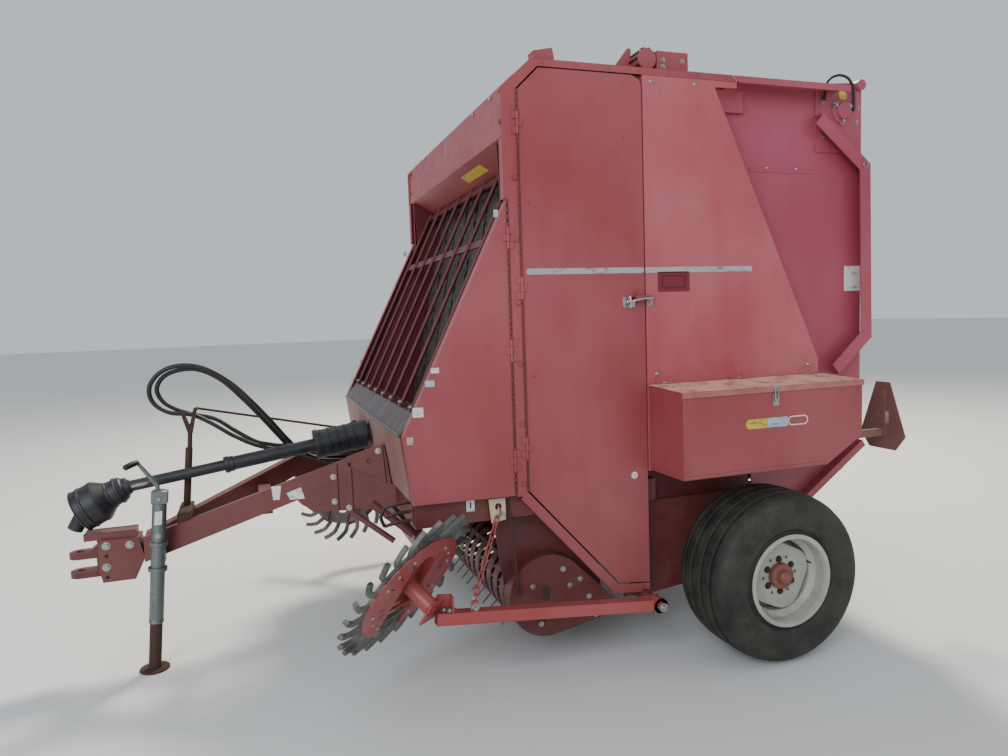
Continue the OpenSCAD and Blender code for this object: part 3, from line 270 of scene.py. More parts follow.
@dataclass(frozen=True)
class Steel(Finish):
    """Bare or zinc-coated steel, from bright to rusted.

    It gives the eye a grey metal with dull blotches, and brown rust where the noise is high.
    """

    colour: str
    rust: str = "#5a3826"
    rusted: float = 0.3
    gloss: float = 0.42
    metallic: float = 0.85

    def paint(self, tree: Tree, shader: bpy.types.Node) -> None:
        """Builds blotches, rust and fine pits. A zinc spangle is about 9 mm across."""
        blotch = noise(tree, 45, (1, 1, 1), 6.0, 0.65)
        place = add(tree, "ShaderNodeTexCoord", out="Object")
        spangle = add(tree, "ShaderNodeTexVoronoi", {"Vector": place, "Scale": 1000 / 9.0}, out="Distance")
        dark = add(tree, RANGE, [spangle, 0, 1, 0.0, 0.35])
        tone = add(tree, MIX, {0: dark, 6: linear(self.colour), 7: linear("#202020")}, **COLOUR)
        share = add(tree, RANGE, [blotch, 0.75 - self.rusted * 0.55, 0.85 - self.rusted * 0.4])
        base = add(tree, MIX, {0: share, 6: tone, 7: linear(self.rust)}, **COLOUR)
        tree.links.new(base, shader.inputs["Base Color"])
        tree.links.new(add(tree, RANGE, [share, 0, 1, self.metallic, 0.05]), shader.inputs["Metallic"])
        tree.links.new(add(tree, RANGE, [share, 0, 1, self.gloss, 0.85]), shader.inputs["Roughness"])
        pits = noise(tree, 2.5, detail=3.0)
        relief(tree, shader, [(blotch, 0.3, 0.6), (pits, 0.2, 0.2)], rounding_mm=1.0)


@dataclass(frozen=True)
class Chrome(Finish):
    """Hard-chromed rod, ground and polished: a clear mirror with faint smears."""

    def paint(self, tree: Tree, shader: bpy.types.Node) -> None:
        """Builds the polished metal."""
        shader.inputs["Metallic"].default_value = 1.0
        smear = noise(tree, 30, (1, 1, 1), 3.0)
        tree.links.new(add(tree, MIX, {0: smear, 6: linear("#c9cccd"), 7: linear("#9da1a3")}, **COLOUR),
                       shader.inputs["Base Color"])
        tree.links.new(add(tree, RANGE, [smear, 0.3, 0.7, 0.12, 0.26]), shader.inputs["Roughness"])


@dataclass(frozen=True)
class Rubber(Finish):
    """Moulded black rubber, greyed by dust in its hollows and polished where it is touched."""

    colour: str = "#1a1b1b"
    dust: str = "#5d5c54"
    dusty: float = 0.5
    gloss: float = 0.7
    grain_mm: float = 4.0

    def paint(self, tree: Tree, shader: bpy.types.Node) -> None:
        """Builds dust, scuffs and the moulded grain."""
        cloud = noise(tree, 120, detail=5.0, rough=0.6)
        scuff = noise(tree, 18, detail=5.0, rough=0.7)
        hollows = add(tree, RANGE, [cloud, 0.3, 0.75])
        patchy = add(tree, MATH, [hollows, add(tree, RANGE, [scuff, 0.25, 0.75, 0.4, 1.0])], **TIMES)
        lying = add(tree, MATH, [patchy, self.dusty], **TIMES)
        edge = add(tree, MATH, [worn_edges(tree, 4.0), 0.5], **TIMES)
        share = add(tree, MATH, [lying, add(tree, MATH, [edge, self.dusty], **TIMES)], **PLUS)
        base = add(tree, MIX, {0: share, 6: linear(self.colour), 7: linear(self.dust)}, **COLOUR)
        tree.links.new(base, shader.inputs["Base Color"])
        tree.links.new(add(tree, RANGE, [cloud, 0.2, 0.8, self.gloss - 0.12, min(self.gloss + 0.15, 1.0)]),
                       shader.inputs["Roughness"])
        relief(tree, shader, [(noise(tree, self.grain_mm, detail=3.0), 0.3, 0.5)])


@dataclass(frozen=True)
class BeltRubber(Finish):
    """Rubber baler belt with a moulded diamond grip, dusted with chaff."""

    diamond_mm: float = 20.0

    def paint(self, tree: Tree, shader: bpy.types.Node) -> None:
        """Builds the grip pattern and the chaff in its grooves."""
        place = add(tree, "ShaderNodeTexCoord", out="Object")
        waves = []
        for turn in (0.6, -0.6):
            mapped = add(tree, "ShaderNodeMapping", {"Vector": place, "Rotation": (turn, 0, 0)})
            inputs = {"Vector": mapped, "Scale": 1000 / self.diamond_mm / 6.28, "Distortion": 0.6}
            waves.append(add(tree, "ShaderNodeTexWave", inputs, out="Fac", bands_direction="Y"))
        grip = add(tree, MATH, waves, **TIMES)
        cloud = noise(tree, 70, (1, 1, 1), 5.0, 0.65)
        groove = add(tree, RANGE, [grip, 0.5, 0.0])
        share = add(tree, MATH, [groove, add(tree, RANGE, [cloud, 0.35, 0.7, 0.15, 0.8])], **TIMES)
        base = add(tree, MIX, {0: share, 6: linear("#17181a"), 7: linear("#6a6255")}, **COLOUR)
        tree.links.new(base, shader.inputs["Base Color"])
        shader.inputs["Roughness"].default_value = 0.72
        relief(tree, shader, [(grip, 0.6, 1.5), (noise(tree, 5), 0.2, 0.4)])


@dataclass(frozen=True)
class Plastic(Finish):
    """Blow-moulded polyethylene guard, sun-bleached and scratched along its length."""

    colour: str = "#17181b"
    pale: str = "#4a4d52"
    gloss: float = 0.38

    def paint(self, tree: Tree, shader: bpy.types.Node) -> None:
        """Builds bleaching and scratches."""
        cloud = noise(tree, 85, (3, 1, 1), 5.0, 0.7)
        scratch = add(tree, RANGE, [noise(tree, 6, (14, 1, 1), 4.0, 0.7), 0.6, 0.72])
        bleached = add(tree, RANGE, [cloud, 0.45, 0.8, 0.0, 0.5])
        share = add(tree, MATH, [bleached, add(tree, MATH, [scratch, 0.35], **TIMES)], **PLUS)
        base = add(tree, MIX, {0: share, 6: linear(self.colour), 7: linear(self.pale)}, **COLOUR)
        tree.links.new(base, shader.inputs["Base Color"])
        tree.links.new(add(tree, RANGE, [cloud, 0.3, 0.8, self.gloss, self.gloss + 0.25]),
                       shader.inputs["Roughness"])
        relief(tree, shader, [(cloud, 0.25, 0.8), (scratch, 0.2, -0.3)])


@dataclass(frozen=True)
class Vinyl(Finish):
    """Self-adhesive vinyl: an even colour with scuffs that show the enamel under it."""

    colour: str
    under: str = "#7c4044"
    scuffed: float = 0.2

    def paint(self, tree: Tree, shader: bpy.types.Node) -> None:
        """Builds the even film and its scuffs."""
        least = 0.62 - self.scuffed * 0.3
        scuff = add(tree, RANGE, [noise(tree, 22, (3, 1, 1), 6.0, 0.7), least, 0.7, 0.0, 0.9])
        base = add(tree, MIX, {0: scuff, 6: linear(self.colour), 7: linear(self.under)}, **COLOUR)
        tree.links.new(base, shader.inputs["Base Color"])
        shader.inputs["Roughness"].default_value = 0.4
        relief(tree, shader, [(scuff, 0.2, -0.2)])


@dataclass(frozen=True)
class StageFloor(Finish):
    """Plain matt studio floor."""

    def paint(self, tree: Tree, shader: bpy.types.Node) -> None:
        """Sets one pale colour."""
        shader.inputs["Base Color"].default_value = linear("#d9dad6")
        shader.inputs["Roughness"].default_value = 0.9


class Coat(Enum):
    """The finishes of the baler, by the surface that wears them."""

    SHIELD = Enamel("chalked_red_enamel", "#8d3438", "#a25357", fade=0.5, rusty=0.25)
    REAR_SHIELD = Enamel("chalked_rose_enamel", "#a8434b", "#b96a70", fade=0.5, gloss=0.38, rusty=0.12)
    GATE = Enamel("chalked_plum_red_enamel", "#9c3e4e", "#ad5767", fade=0.5, gloss=0.4, rusty=0.15)
    # the lid's pale colour on upward faces, given as its dust at full share, is painted sunlight
    LID = Enamel("sunlit_lid_enamel", "#8d3438", "#a25357", dust="#ecc3a8", dusty=1.0, gloss=0.3, rusty=0.1)
    FRAME = Enamel("brown_red_frame_enamel", "#571a1a", "#6f3230", fade=0.45, dusty=0.5, rusty=0.35)
    CRIMSON = Enamel("dark_crimson_enamel", "#4c0f13", "#641d21", fade=0.35, dusty=0.4, gloss=0.46,
                     rusty=0.35)
    RAKE = Enamel("bright_rake_enamel", "#9b383a", "#b25a57", fade=0.5, dusty=0.2, gloss=0.36, rusty=0.25)
    BLACK = Enamel("black_machine_enamel", "#151317", "#2c292d", chip="#6b3f2f", fade=0.45, dusty=0.5,
                   gloss=0.4, rusty=0.5)
    CYLINDER = Enamel("black_cylinder_enamel", "#16161a", "#2e2d31", fade=0.4, gloss=0.35)
    RIM = Enamel("white_rim_enamel", "#9ca097", "#bbbdb2", chip="#7a4a34", dust="#8d8373", fade=0.5,
                 dusty=0.45, rusty=0.5)
    HUB = Enamel("rusty_red_hub_enamel", "#7b3a2c", "#8d5646", chip="#4a2c1e", fade=0.5, dusty=0.5,
                 rusty=0.9)
    GALVANISED = Steel("galvanised_steel", "#7d8682", rusted=0.15, gloss=0.5)
    RUSTY = Steel("flaking_rusty_steel", "#4c4440", rust="#44291d", rusted=0.85, gloss=0.6)
    ROLLER = Steel("worn_roller_steel", "#5a5350", rusted=0.55, gloss=0.4)
    REEL = Steel("spring_steel", "#85807a", rusted=0.45, gloss=0.4)
    ZINC = Steel("zinc_plated_steel", "#b3b4ae", rusted=0.18, gloss=0.34)
    CREAM = Enamel("cream_plate_enamel", "#b9b08a", "#cfc7a4", fade=0.5, dusty=0.3, rusty=0.5)
    CHROME = Chrome("hard_chrome")
    BELT = BeltRubber("diamond_grip_belt_rubber")
    TYRE = Rubber("tyre_rubber", colour="#131412", dust="#605d4c", dusty=0.6)
    FINGER = Rubber("dusty_finger_rubber", colour="#2a2c2b", dust="#a09f93", dusty=0.85, grain_mm=6.0)
    HOSE = Rubber("smooth_hose_rubber", colour="#0e0e10", dust="#45443f", dusty=0.35, gloss=0.5,
                  grain_mm=3.0)
    GUARD = Plastic("guard_polyethylene")
    SIGN = Enamel("brown_sign_enamel", "#7d4a45", "#9d7f7a", chip="#4a2a22", fade=0.5, gloss=0.6, rusty=0.9)
    SILVER_FILM = Vinyl("silver_stripe_vinyl", "#a9a7a6", scuffed=0.25)
    YELLOW_FILM = Vinyl("yellow_vinyl", "#c9b53a", scuffed=0.3)
    WHITE_FILM = Vinyl("white_vinyl", "#d7d8d4", scuffed=0.35)
    BLUE_FILM = Vinyl("pale_blue_vinyl", "#9fb7c4", scuffed=0.3)
    RED_FILM = Vinyl("dark_red_reflector_film", "#741d2b", under="#5a1a22", scuffed=0.1)
    BEIGE_FILM = Vinyl("torn_beige_vinyl", "#c4b49a", scuffed=0.75)

    def material(self) -> bpy.types.Material:
        """The finish's material."""
        return self.value.material()


SLOT_COATS = {
    "faded_red": Coat.SHIELD, "lid_red": Coat.LID, "frame_red": Coat.FRAME, "dark_red": Coat.CRIMSON,
    "black_paint": Coat.BLACK, "galvanised": Coat.GALVANISED, "rusty_steel": Coat.RUSTY,
    "roller_steel": Coat.ROLLER, "cylinder_paint": Coat.CYLINDER, "chrome": Coat.CHROME,
    "reel_steel": Coat.REEL, "belt_rubber": Coat.BELT, "finger_rubber": Coat.FINGER,
    "rim_paint": Coat.RIM, "tyre": Coat.TYRE, "sign_brown": Coat.SIGN, "hose_rubber": Coat.HOSE,
}
NODE_COATS = {
    "rear_shield_left": Coat.REAR_SHIELD, "rear_shield_right": Coat.REAR_SHIELD,
    "gate_side_left": Coat.GATE, "gate_side_right": Coat.GATE, "driveline": Coat.GUARD,
    "rake_wheel_left": Coat.RAKE, "rake_wheel_right": Coat.RAKE, "rake_arm_left": Coat.RAKE,
    "rake_arm_right": Coat.RAKE, "twine_box": Coat.SHIELD, "front_wall": Coat.SIGN,
}
def spokes(count: int, start: float = 0.0) -> Flat:
    """Cosine and sine of directions spread evenly round a circle, from a start in radians."""
    turns = [start + 2 * math.pi * k / count for k in range(count)]
    return [(math.cos(a), math.sin(a)) for a in turns]


def disc(x: float, y: float, radius: float, points: int = 28) -> Flat:
    """The outline of a circle."""
    return [(x + radius * c, y + radius * s) for c, s in spokes(points)]


def pill(x0: float, y0: float, x1: float, y1: float, radius: float, points: int = 6) -> Flat:
    """The outline of a rectangle whose corners are rounded by the radius."""
    corners = [(x1 - radius, y1 - radius), (x0 + radius, y1 - radius),
               (x0 + radius, y0 + radius), (x1 - radius, y0 + radius)]
    found = []
    for quarter, (x, y) in enumerate(corners):
        for k in range(points + 1):
            a = math.pi / 2 * (quarter + k / points)
            found.append((x + radius * math.cos(a), y + radius * math.sin(a)))
    return found


class Form:
    """A mesh that grows from simple shapes, in millimetres from the axle."""

    # a turned shape's tip keeps this radius, so that its faces stay apart
    least_r = 0.05

    def __init__(self, side: int = RIGHT, place: Matrix | None = None) -> None:
        """Starts empty.

        Args:
            side: LEFT mirrors what is drawn.
            place: Carries what is drawn to its place before it is mirrored.
        """
        self.bm = bmesh.new()
        self.side = side
        self.place = place or Matrix.Identity(4)

    def _vert(self, p: Point) -> bmesh.types.BMVert:
        """A vertex at a drawn point."""
        q = self.place @ Vector(p)
        return self.bm.verts.new(at(q.x, q.y * self.side, q.z))

    def skin(self, rings: Sequence[Outline], closed: bool = False) -> "Form":
        """Joins rings of equal length into a skin, with flat ends unless it is closed."""
        layers = [[self._vert(p) for p in ring] for ring in rings]
        count = len(layers[0])
        pairs = list(zip(layers, layers[1:])) + ([(layers[-1], layers[0])] if closed else [])
        for a, b in pairs:
            for k in range(count):
                self.bm.faces.new((a[k], a[(k + 1) % count], b[(k + 1) % count], b[k]))
        if not closed:
            self.bm.faces.new(list(reversed(layers[0])))
            self.bm.faces.new(layers[-1])
        return self

    def prism(self, outline: Outline, y0: float, y1: float) -> "Form":
        """A plate whose outline in X and Z runs from y0 to y1."""
        return self.skin([[(p[0], y, p[1]) for p in outline] for y in (y0, y1)])

    def block(self, low: Point, high: Point) -> "Form":
        """A box between two corners."""
        (x0, y0, z0), (x1, y1, z1) = low, high
        return self.prism([(x0, z0), (x1, z0), (x1, z1), (x0, z1)], y0, y1)

    def tube(self, path: Outline, radius: float | Sequence[float], sides: int = 14) -> "Form":
        """A round bar along a path, with one radius or one for each point."""
        pts = [Vector(p) for p in path]
        radii = [radius] * len(pts) if isinstance(radius, (int, float)) else list(radius)
        rings, up = [], None
        for i, p in enumerate(pts):
            way = (pts[min(i + 1, len(pts) - 1)] - pts[max(i - 1, 0)]).normalized()
            up = way.orthogonal() if up is None else up
            up = (up - way * up.dot(way)).normalized()
            side = way.cross(up)
            rings.append([p + radii[i] * (c * up + s * side) for c, s in spokes(sides)])
        return self.skin(rings)

    def bend(self, points: Outline, steps: int, radius: float | Sequence[float], sides: int = 14) -> "Form":
        """A round bar along the smooth curve through the points."""
        return self.tube(smooth_path(points, steps), radius, sides)

    def lathe(self, centre: Point, axis: Point, profile: Outline, sides: int = 48,
              closed: bool = False) -> "Form":
        """A turned shape.

        Args:
            centre: Point on the axis.
            axis: Direction of the axis.
            profile: Distance along the axis and radius of each ring.
            sides: Faces round the axis.
            closed: Whether the profile returns to its start.

        Returns:
            The form itself.
        """
        way = Vector(axis).normalized()
        up = way.orthogonal().normalized()
        side = way.cross(up)
        rings = []
        for along, radius in profile:
            middle, r = Vector(centre) + way * along, max(radius, self.least_r)
            rings.append([middle + r * (c * up + s * side) for c, s in spokes(sides)])
        return self.skin(rings, closed)

    def sheet(self, outline: Outline, holes: Sequence[Outline] = (), thick: float = 3.0,
              origin: Point = (0, 0, 0), right: Point = (1, 0, 0), up: Point = (0, 0, 1)) -> "Form":
        """A flat plate with holes.

        Args:
            outline: Its edge, in the plane of right and up.
            holes: The edges of its holes.
            thick: Thickness, to the front and the back of the plane by half.
            origin: Where the plane's own zero lies.
            right: Direction of the outline's first number.
            up: Direction of its second number.

        Returns:
            The form itself.
        """
        curve = bpy.data.curves.new("cut", "CURVE")
        curve.dimensions, curve.fill_mode, curve.extrude = "2D", "BOTH", thick / 2
        for loop in (outline, *holes):
            spline = curve.splines.new("POLY")
            spline.points.add(len(loop) - 1)
            spline.points.foreach_set("co", [c for p in loop for c in (p[0], p[1], 0.0, 1.0)])
            spline.use_cyclic_u = True
        holder = bpy.data.objects.new("cut", curve)
        flat = bpy.data.meshes.new_from_object(holder)
        a, b = Vector(right).normalized(), Vector(up).normalized()
        n = a.cross(b)
        verts = [self._vert(Vector(origin) + a * v.co.x + b * v.co.y + n * v.co.z) for v in flat.vertices]
        for face in flat.polygons:
            self.bm.faces.new([verts[i] for i in face.vertices])
        bpy.data.objects.remove(holder)
        bpy.data.meshes.remove(flat)
        return self

    def piece(self, name: str, body: str, coat: Coat, bevel: float = 0.0, angle: float = 35.0,
              replaces: Sequence[str] = ()) -> bpy.types.Object:
        """Turns the form into a finished piece that rides on a body.

        Args:
            name: The piece's name.
            body: The CAD body it moves with.
            coat: Its finish.
            bevel: Width of its rounded edges in millimetres.
            angle: Edges sharper than this stay sharp, in degrees.
            replaces: The CAD nodes that it stands for.

        Returns:
            The piece.
        """
        bmesh.ops.remove_doubles(self.bm, verts=self.bm.verts, dist=1e-6)
        bmesh.ops.recalc_face_normals(self.bm, faces=self.bm.faces)
        mesh = bpy.data.meshes.new(name)
        self.bm.to_mesh(mesh)
        self.bm.free()
        mesh.materials.append(coat.material())
        made = settle(name, mesh, body, coat, angle, replaces)
        if bevel:
            edges = made.modifiers.new("edges", "BEVEL")
            edges.width, edges.segments = bevel / 1000, 2
            edges.limit_method, edges.angle_limit = "ANGLE", math.radians(angle)
        return made


def settle(name: str, mesh: bpy.types.Mesh, body: str, coat: Coat, angle: float,
           replaces: Sequence[str] = ()) -> bpy.types.Object:
    """Makes a mesh into a piece that rides on a body and the nodes it stands for."""
    mesh.shade_smooth()
    mesh.set_sharp_from_angle(angle=math.radians(angle))
    made = bpy.data.objects.new(name, mesh)
    bpy.context.scene.collection.objects.link(made)
    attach(made, body)
    if replaces:
        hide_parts(*replaces)
    LOG.info("%s: %d faces on %s", name, len(mesh.polygons), body)
    return made


def film(name: str, body: str, coat: Coat, side: int, y: float, outline: Outline,
         holes: Sequence[Outline] = (), thick: float = 0.8) -> None:
    """Makes a thin film on a wall.

    Args:
        name: The piece's name.
        body: The CAD body it moves with.
        coat: Its finish.
        side: LEFT mirrors it.
        y: Middle of its thickness.
        outline: Its edge in X and Z.
        holes: The edges of its holes.
        thick: Its thickness.
    """
    Form(side).sheet(outline, holes, thick, (0, y, 0)).piece(name, body, coat)


def new_tree(name: str, inputs: Inputs) -> tuple[Tree, Given]:
    """A geometry tree with its geometry in and out and its named inputs.

    Args:
        name: The tree's name.
        inputs: Name, socket type and standard value of each input.

    Returns:
        The tree and what its input node gives.
    """
    tree = bpy.data.node_groups.new(name, "GeometryNodeTree")
    for way in ("INPUT", "OUTPUT"):
        tree.interface.new_socket("Geometry", in_out=way, socket_type="NodeSocketGeometry")
    for label, kind, value in (*inputs, ("Coat", "Material", None)):
        made = tree.interface.new_socket(label, in_out="INPUT", socket_type="NodeSocket" + kind)
        if value is not None:
            made.default_value = value
    return tree, add(tree, "NodeGroupInput").node.outputs


def close_tree(tree: Tree, shape: Socket, coat: Socket) -> Tree:
    """Ends a tree in real, painted geometry."""
    real = add(tree, "GeometryNodeRealizeInstances", {"Geometry": shape})
    painted = add(tree, "GeometryNodeSetMaterial", {"Geometry": real, "Material": coat})
    add(tree, "NodeGroupOutput", [painted])
    return tree


def head_tree() -> Tree:
    """Fastener heads with washers on points that carry an axis and a size."""
    inputs = [("Sides", "Int", 6), ("Taper", "Float", 0.9), ("Height", "Float", 0.7),
              ("Washer", "Float", 1.4)]
    tree, given = new_tree("fastener_heads", inputs)
    thick = 0.3
    washer = add(tree, "GeometryNodeMeshCylinder", {"Vertices": 14, "Radius": given["Washer"],
                                                    "Depth": thick})
    cone = add(tree, "GeometryNodeMeshCone", {"Vertices": given["Sides"], "Radius Top": given["Taper"],
                                              "Radius Bottom": 1.0, "Depth": given["Height"]})
    raised = add(tree, "GeometryNodeTransform", {"Geometry": cone, "Translation": (0, 0, thick / 2)})
    both = add(tree, "GeometryNodeJoinGeometry", [[washer, raised]])
    axis = add(tree, "GeometryNodeInputNamedAttribute", {"Name": "axis"}, data_type="FLOAT_VECTOR")
    size = add(tree, "GeometryNodeInputNamedAttribute", {"Name": "size"}, data_type="FLOAT")
    turn = add(tree, "FunctionNodeAlignRotationToVector", {"Vector": axis}, axis="Z")
    placed = add(tree, "GeometryNodeInstanceOnPoints", {"Points": given["Geometry"], "Instance": both,
                                                        "Rotation": turn, "Scale": size})
    return close_tree(tree, placed, given["Coat"])


def path_tree(name: str, inputs: Inputs, axis: str, turn_each: float,
              shape: Callable[[Tree, Given], Socket]) -> Tree:
    """One shape repeated along a path, at the pitch that the tree is given.

    Args:
        name: The tree's name.
        inputs: Its inputs besides the pitch.
        axis: The shape's axis that follows the path.
        turn_each: Turn about the path from one shape to the next, in radians.
        shape: Builds the shape's nodes from the tree and its inputs.

    Returns:
        The tree.
    """
    tree, given = new_tree(name, [("Pitch", "Float", 0.03), *inputs])
    curve = add(tree, "GeometryNodeMeshToCurve", {"Mesh": given["Geometry"]})
    points = add(tree, "GeometryNodeCurveToPoints", {"Curve": curve, "Length": given["Pitch"]}, mode="LENGTH")
    tangent = points.node.outputs["Tangent"]
    along = add(tree, "FunctionNodeAlignRotationToVector", {"Vector": tangent}, axis=axis)
    step = add(tree, MATH, [add(tree, "GeometryNodeInputIndex"), turn_each], operation="MULTIPLY")
    twist = add(tree, "FunctionNodeEulerToRotation", [add(tree, "ShaderNodeCombineXYZ", {axis: step})])
    turn = add(tree, "FunctionNodeRotateRotation", {"Rotation": along, "Rotate By": twist},
               rotation_space="LOCAL")
    placed = add(tree, "GeometryNodeInstanceOnPoints", {"Points": points, "Instance": shape(tree, given),
                                                        "Rotation": turn})
    return close_tree(tree, placed, given["Coat"])


def knuckle_shape(tree: Tree, given: Given) -> Socket:
    """One knuckle of a piano hinge, a little shorter than the pitch."""
    depth = add(tree, MATH, [given["Pitch"], 0.9], operation="MULTIPLY")
    return add(tree, "GeometryNodeMeshCylinder", {"Vertices": 10, "Radius": given["Radius"], "Depth": depth})


def link_shape(tree: Tree, given: Given) -> Socket:
    """One welded link: a rounded rectangle of round wire."""
    size = {"Width": given["Length"], "Height": given["Width"]}
    frame = add(tree, "GeometryNodeCurvePrimitiveQuadrilateral", size)
    half = add(tree, MATH, [given["Width"], 0.49], operation="MULTIPLY")
    oval = add(tree, "GeometryNodeFilletCurve", {"Curve": frame, "Count": 5, "Radius": half}, mode="POLY")
    wire = add(tree, "GeometryNodeCurvePrimitiveCircle", {"Resolution": 7, "Radius": given["Wire"]})
    return add(tree, "GeometryNodeCurveToMesh", {"Curve": oval, "Profile Curve": wire})


def finger_tree() -> Tree:
    """Rubber fingers round a ring, each swept along the line that the tree is given."""
    inputs = [("Count", "Int", 24), ("Width", "Float", 0.026), ("Depth", "Float", 0.022)]
    tree, given = new_tree("fingers_round_ring", inputs)
    line = add(tree, "GeometryNodeMeshToCurve", {"Mesh": given["Geometry"]})
    swept = add(tree, "GeometryNodeFilletCurve", {"Curve": line, "Count": 4, "Radius": 0.03}, mode="POLY")
    level = add(tree, "GeometryNodeSetCurveNormal", {"Curve": swept}, mode="Z_UP")
    size = {"Width": given["Width"], "Height": given["Depth"]}
    box = add(tree, "GeometryNodeCurvePrimitiveQuadrilateral", size)
    soft = add(tree, "GeometryNodeFilletCurve", {"Curve": box, "Count": 2, "Radius": 0.004}, mode="POLY")
    finger = add(tree, "GeometryNodeCurveToMesh", {"Curve": level, "Profile Curve": soft,
                                                   "Fill Caps": True})
    spots = add(tree, "GeometryNodeMeshLine", {"Count": given["Count"], "Offset": (0, 0, 0)})
    step = add(tree, MATH, [2 * math.pi, given["Count"]], operation="DIVIDE")
    angle = add(tree, MATH, [add(tree, "GeometryNodeInputIndex"), step], operation="MULTIPLY")
    turn = add(tree, "FunctionNodeEulerToRotation", [add(tree, "ShaderNodeCombineXYZ", {"Z": angle})])
    placed = add(tree, "GeometryNodeInstanceOnPoints", {"Points": spots, "Instance": finger,
                                                        "Rotation": turn})
    return close_tree(tree, placed, given["Coat"])


def grown(name: str, base: bpy.types.Mesh, tree: Tree, values: dict, body: str, coat: Coat,
          place: Matrix | None = None, replaces: Sequence[str] = (), angle: float = 40.0) -> bpy.types.Object:
    """Runs a tree on a mesh and keeps the result as one plain piece.

    Args:
        name: The piece's name.
        base: Points or lines that the tree works on.
        tree: The geometry tree.
        values: Its inputs by name, in metres.
        body: The CAD body the piece moves with.
        coat: Its finish.
        place: Carries the result to its place, in metres.
        replaces: The CAD nodes that it stands for.
        angle: Edges sharper than this stay sharp, in degrees.

    Returns:
        The piece.
    """
    holder = bpy.data.objects.new(name + "_base", base)
    bpy.context.scene.collection.objects.link(holder)
    modifier = holder.modifiers.new("tree", "NODES")
    modifier.node_group = tree
    keys = {item.name: item.identifier for item in tree.interface.items_tree if item.in_out == "INPUT"}
    for label, value in (values | {"Coat": coat.material()}).items():
        modifier[keys[label]] = value
    graph = bpy.context.evaluated_depsgraph_get()
    mesh = bpy.data.meshes.new_from_object(holder.evaluated_get(graph))
    holder.modifiers.remove(modifier)
    bpy.data.objects.remove(holder)
    if place:
        mesh.transform(place)
        if place.determinant() < 0:
            mesh.flip_normals()
    return settle(name, mesh, body, coat, angle, replaces)


def line_mesh(name: str, points: Sequence[Vector], joined: bool = True) -> bpy.types.Mesh:
    """A mesh of points in metres, joined into one line or left loose."""
    mesh = bpy.data.meshes.new(name)
    edges = [(i, i + 1) for i in range(len(points) - 1)] if joined else []
    mesh.from_pydata([tuple(p) for p in points], edges, [])
    return mesh


class Head(Enum):
    """Kinds of fastener head: sides, share of the top, height and washer in half widths."""

    HEX = (6, 0.9, 0.75, 1.45)
    NUT = (6, 0.88, 1.05, 1.6)
    ROUND = (14, 0.55, 0.55, 1.02)


@dataclass
class Fasteners:
    """Gathers the screws, bolts and nuts of the machine and makes them, one piece for each body."""

    found: dict = field(default_factory=dict)

    def put(self, body: str, axis: Point, size: float, points: Outline, side: int = RIGHT,
            head: Head = Head.HEX, coat: Coat = Coat.ZINC) -> None:
        """Notes fasteners.

        Args:
            body: The CAD body they sit in.
            axis: Way that their heads point.
            size: Half the width of a head in millimetres.
            points: Their places.
            side: LEFT mirrors places and axis.
            head: Kind of head.
            coat: Finish.
        """
        rows = self.found.setdefault((body, head, coat), [])
        way = (axis[0], axis[1] * side, axis[2])
        rows += [(at(x, y * side, z), way, size / 1000) for x, y, z in points]

    def build(self) -> None:
        """Makes one piece for each body, kind and finish."""
        tree = head_tree()
        for (body, head, coat), rows in self.found.items():
            mesh = line_mesh("heads", [row[0] for row in rows], joined=False)
            axes = mesh.attributes.new("axis", "FLOAT_VECTOR", "POINT")
            axes.data.foreach_set("vector", [c for row in rows for c in row[1]])
            sizes = mesh.attributes.new("size", "FLOAT", "POINT")
            sizes.data.foreach_set("value", [row[2] for row in rows])
            sides, taper, height, washer = head.value
            grown(f"{coat.name.lower()}_{head.name.lower()}_heads_{body}", mesh, tree,
                  {"Sides": sides, "Taper": taper, "Height": height, "Washer": washer}, body, coat)


def smooth_path(points: Outline, steps: int) -> list[Vector]:
    """The smooth curve through the points, with the given steps between two points."""
    pts = [Vector(p) for p in points]
    found = []
    for i in range(len(pts) - 1):
        a, b, c, d = pts[max(i - 1, 0)], pts[i], pts[i + 1], pts[min(i + 2, len(pts) - 1)]
        for k in range(steps):
            f = k / steps
            found.append(0.5 * ((2 * b) + (c - a) * f + (2 * a - 5 * b + 4 * c - d) * f * f
                                + (3 * b - a - 3 * c + d) * f ** 3))
    return found + [pts[-1]]


def path_length(path: Sequence[Vector]) -> float:
    """Length of a path, in the unit of its points."""
    return sum((b - a).length for a, b in zip(path, path[1:]))


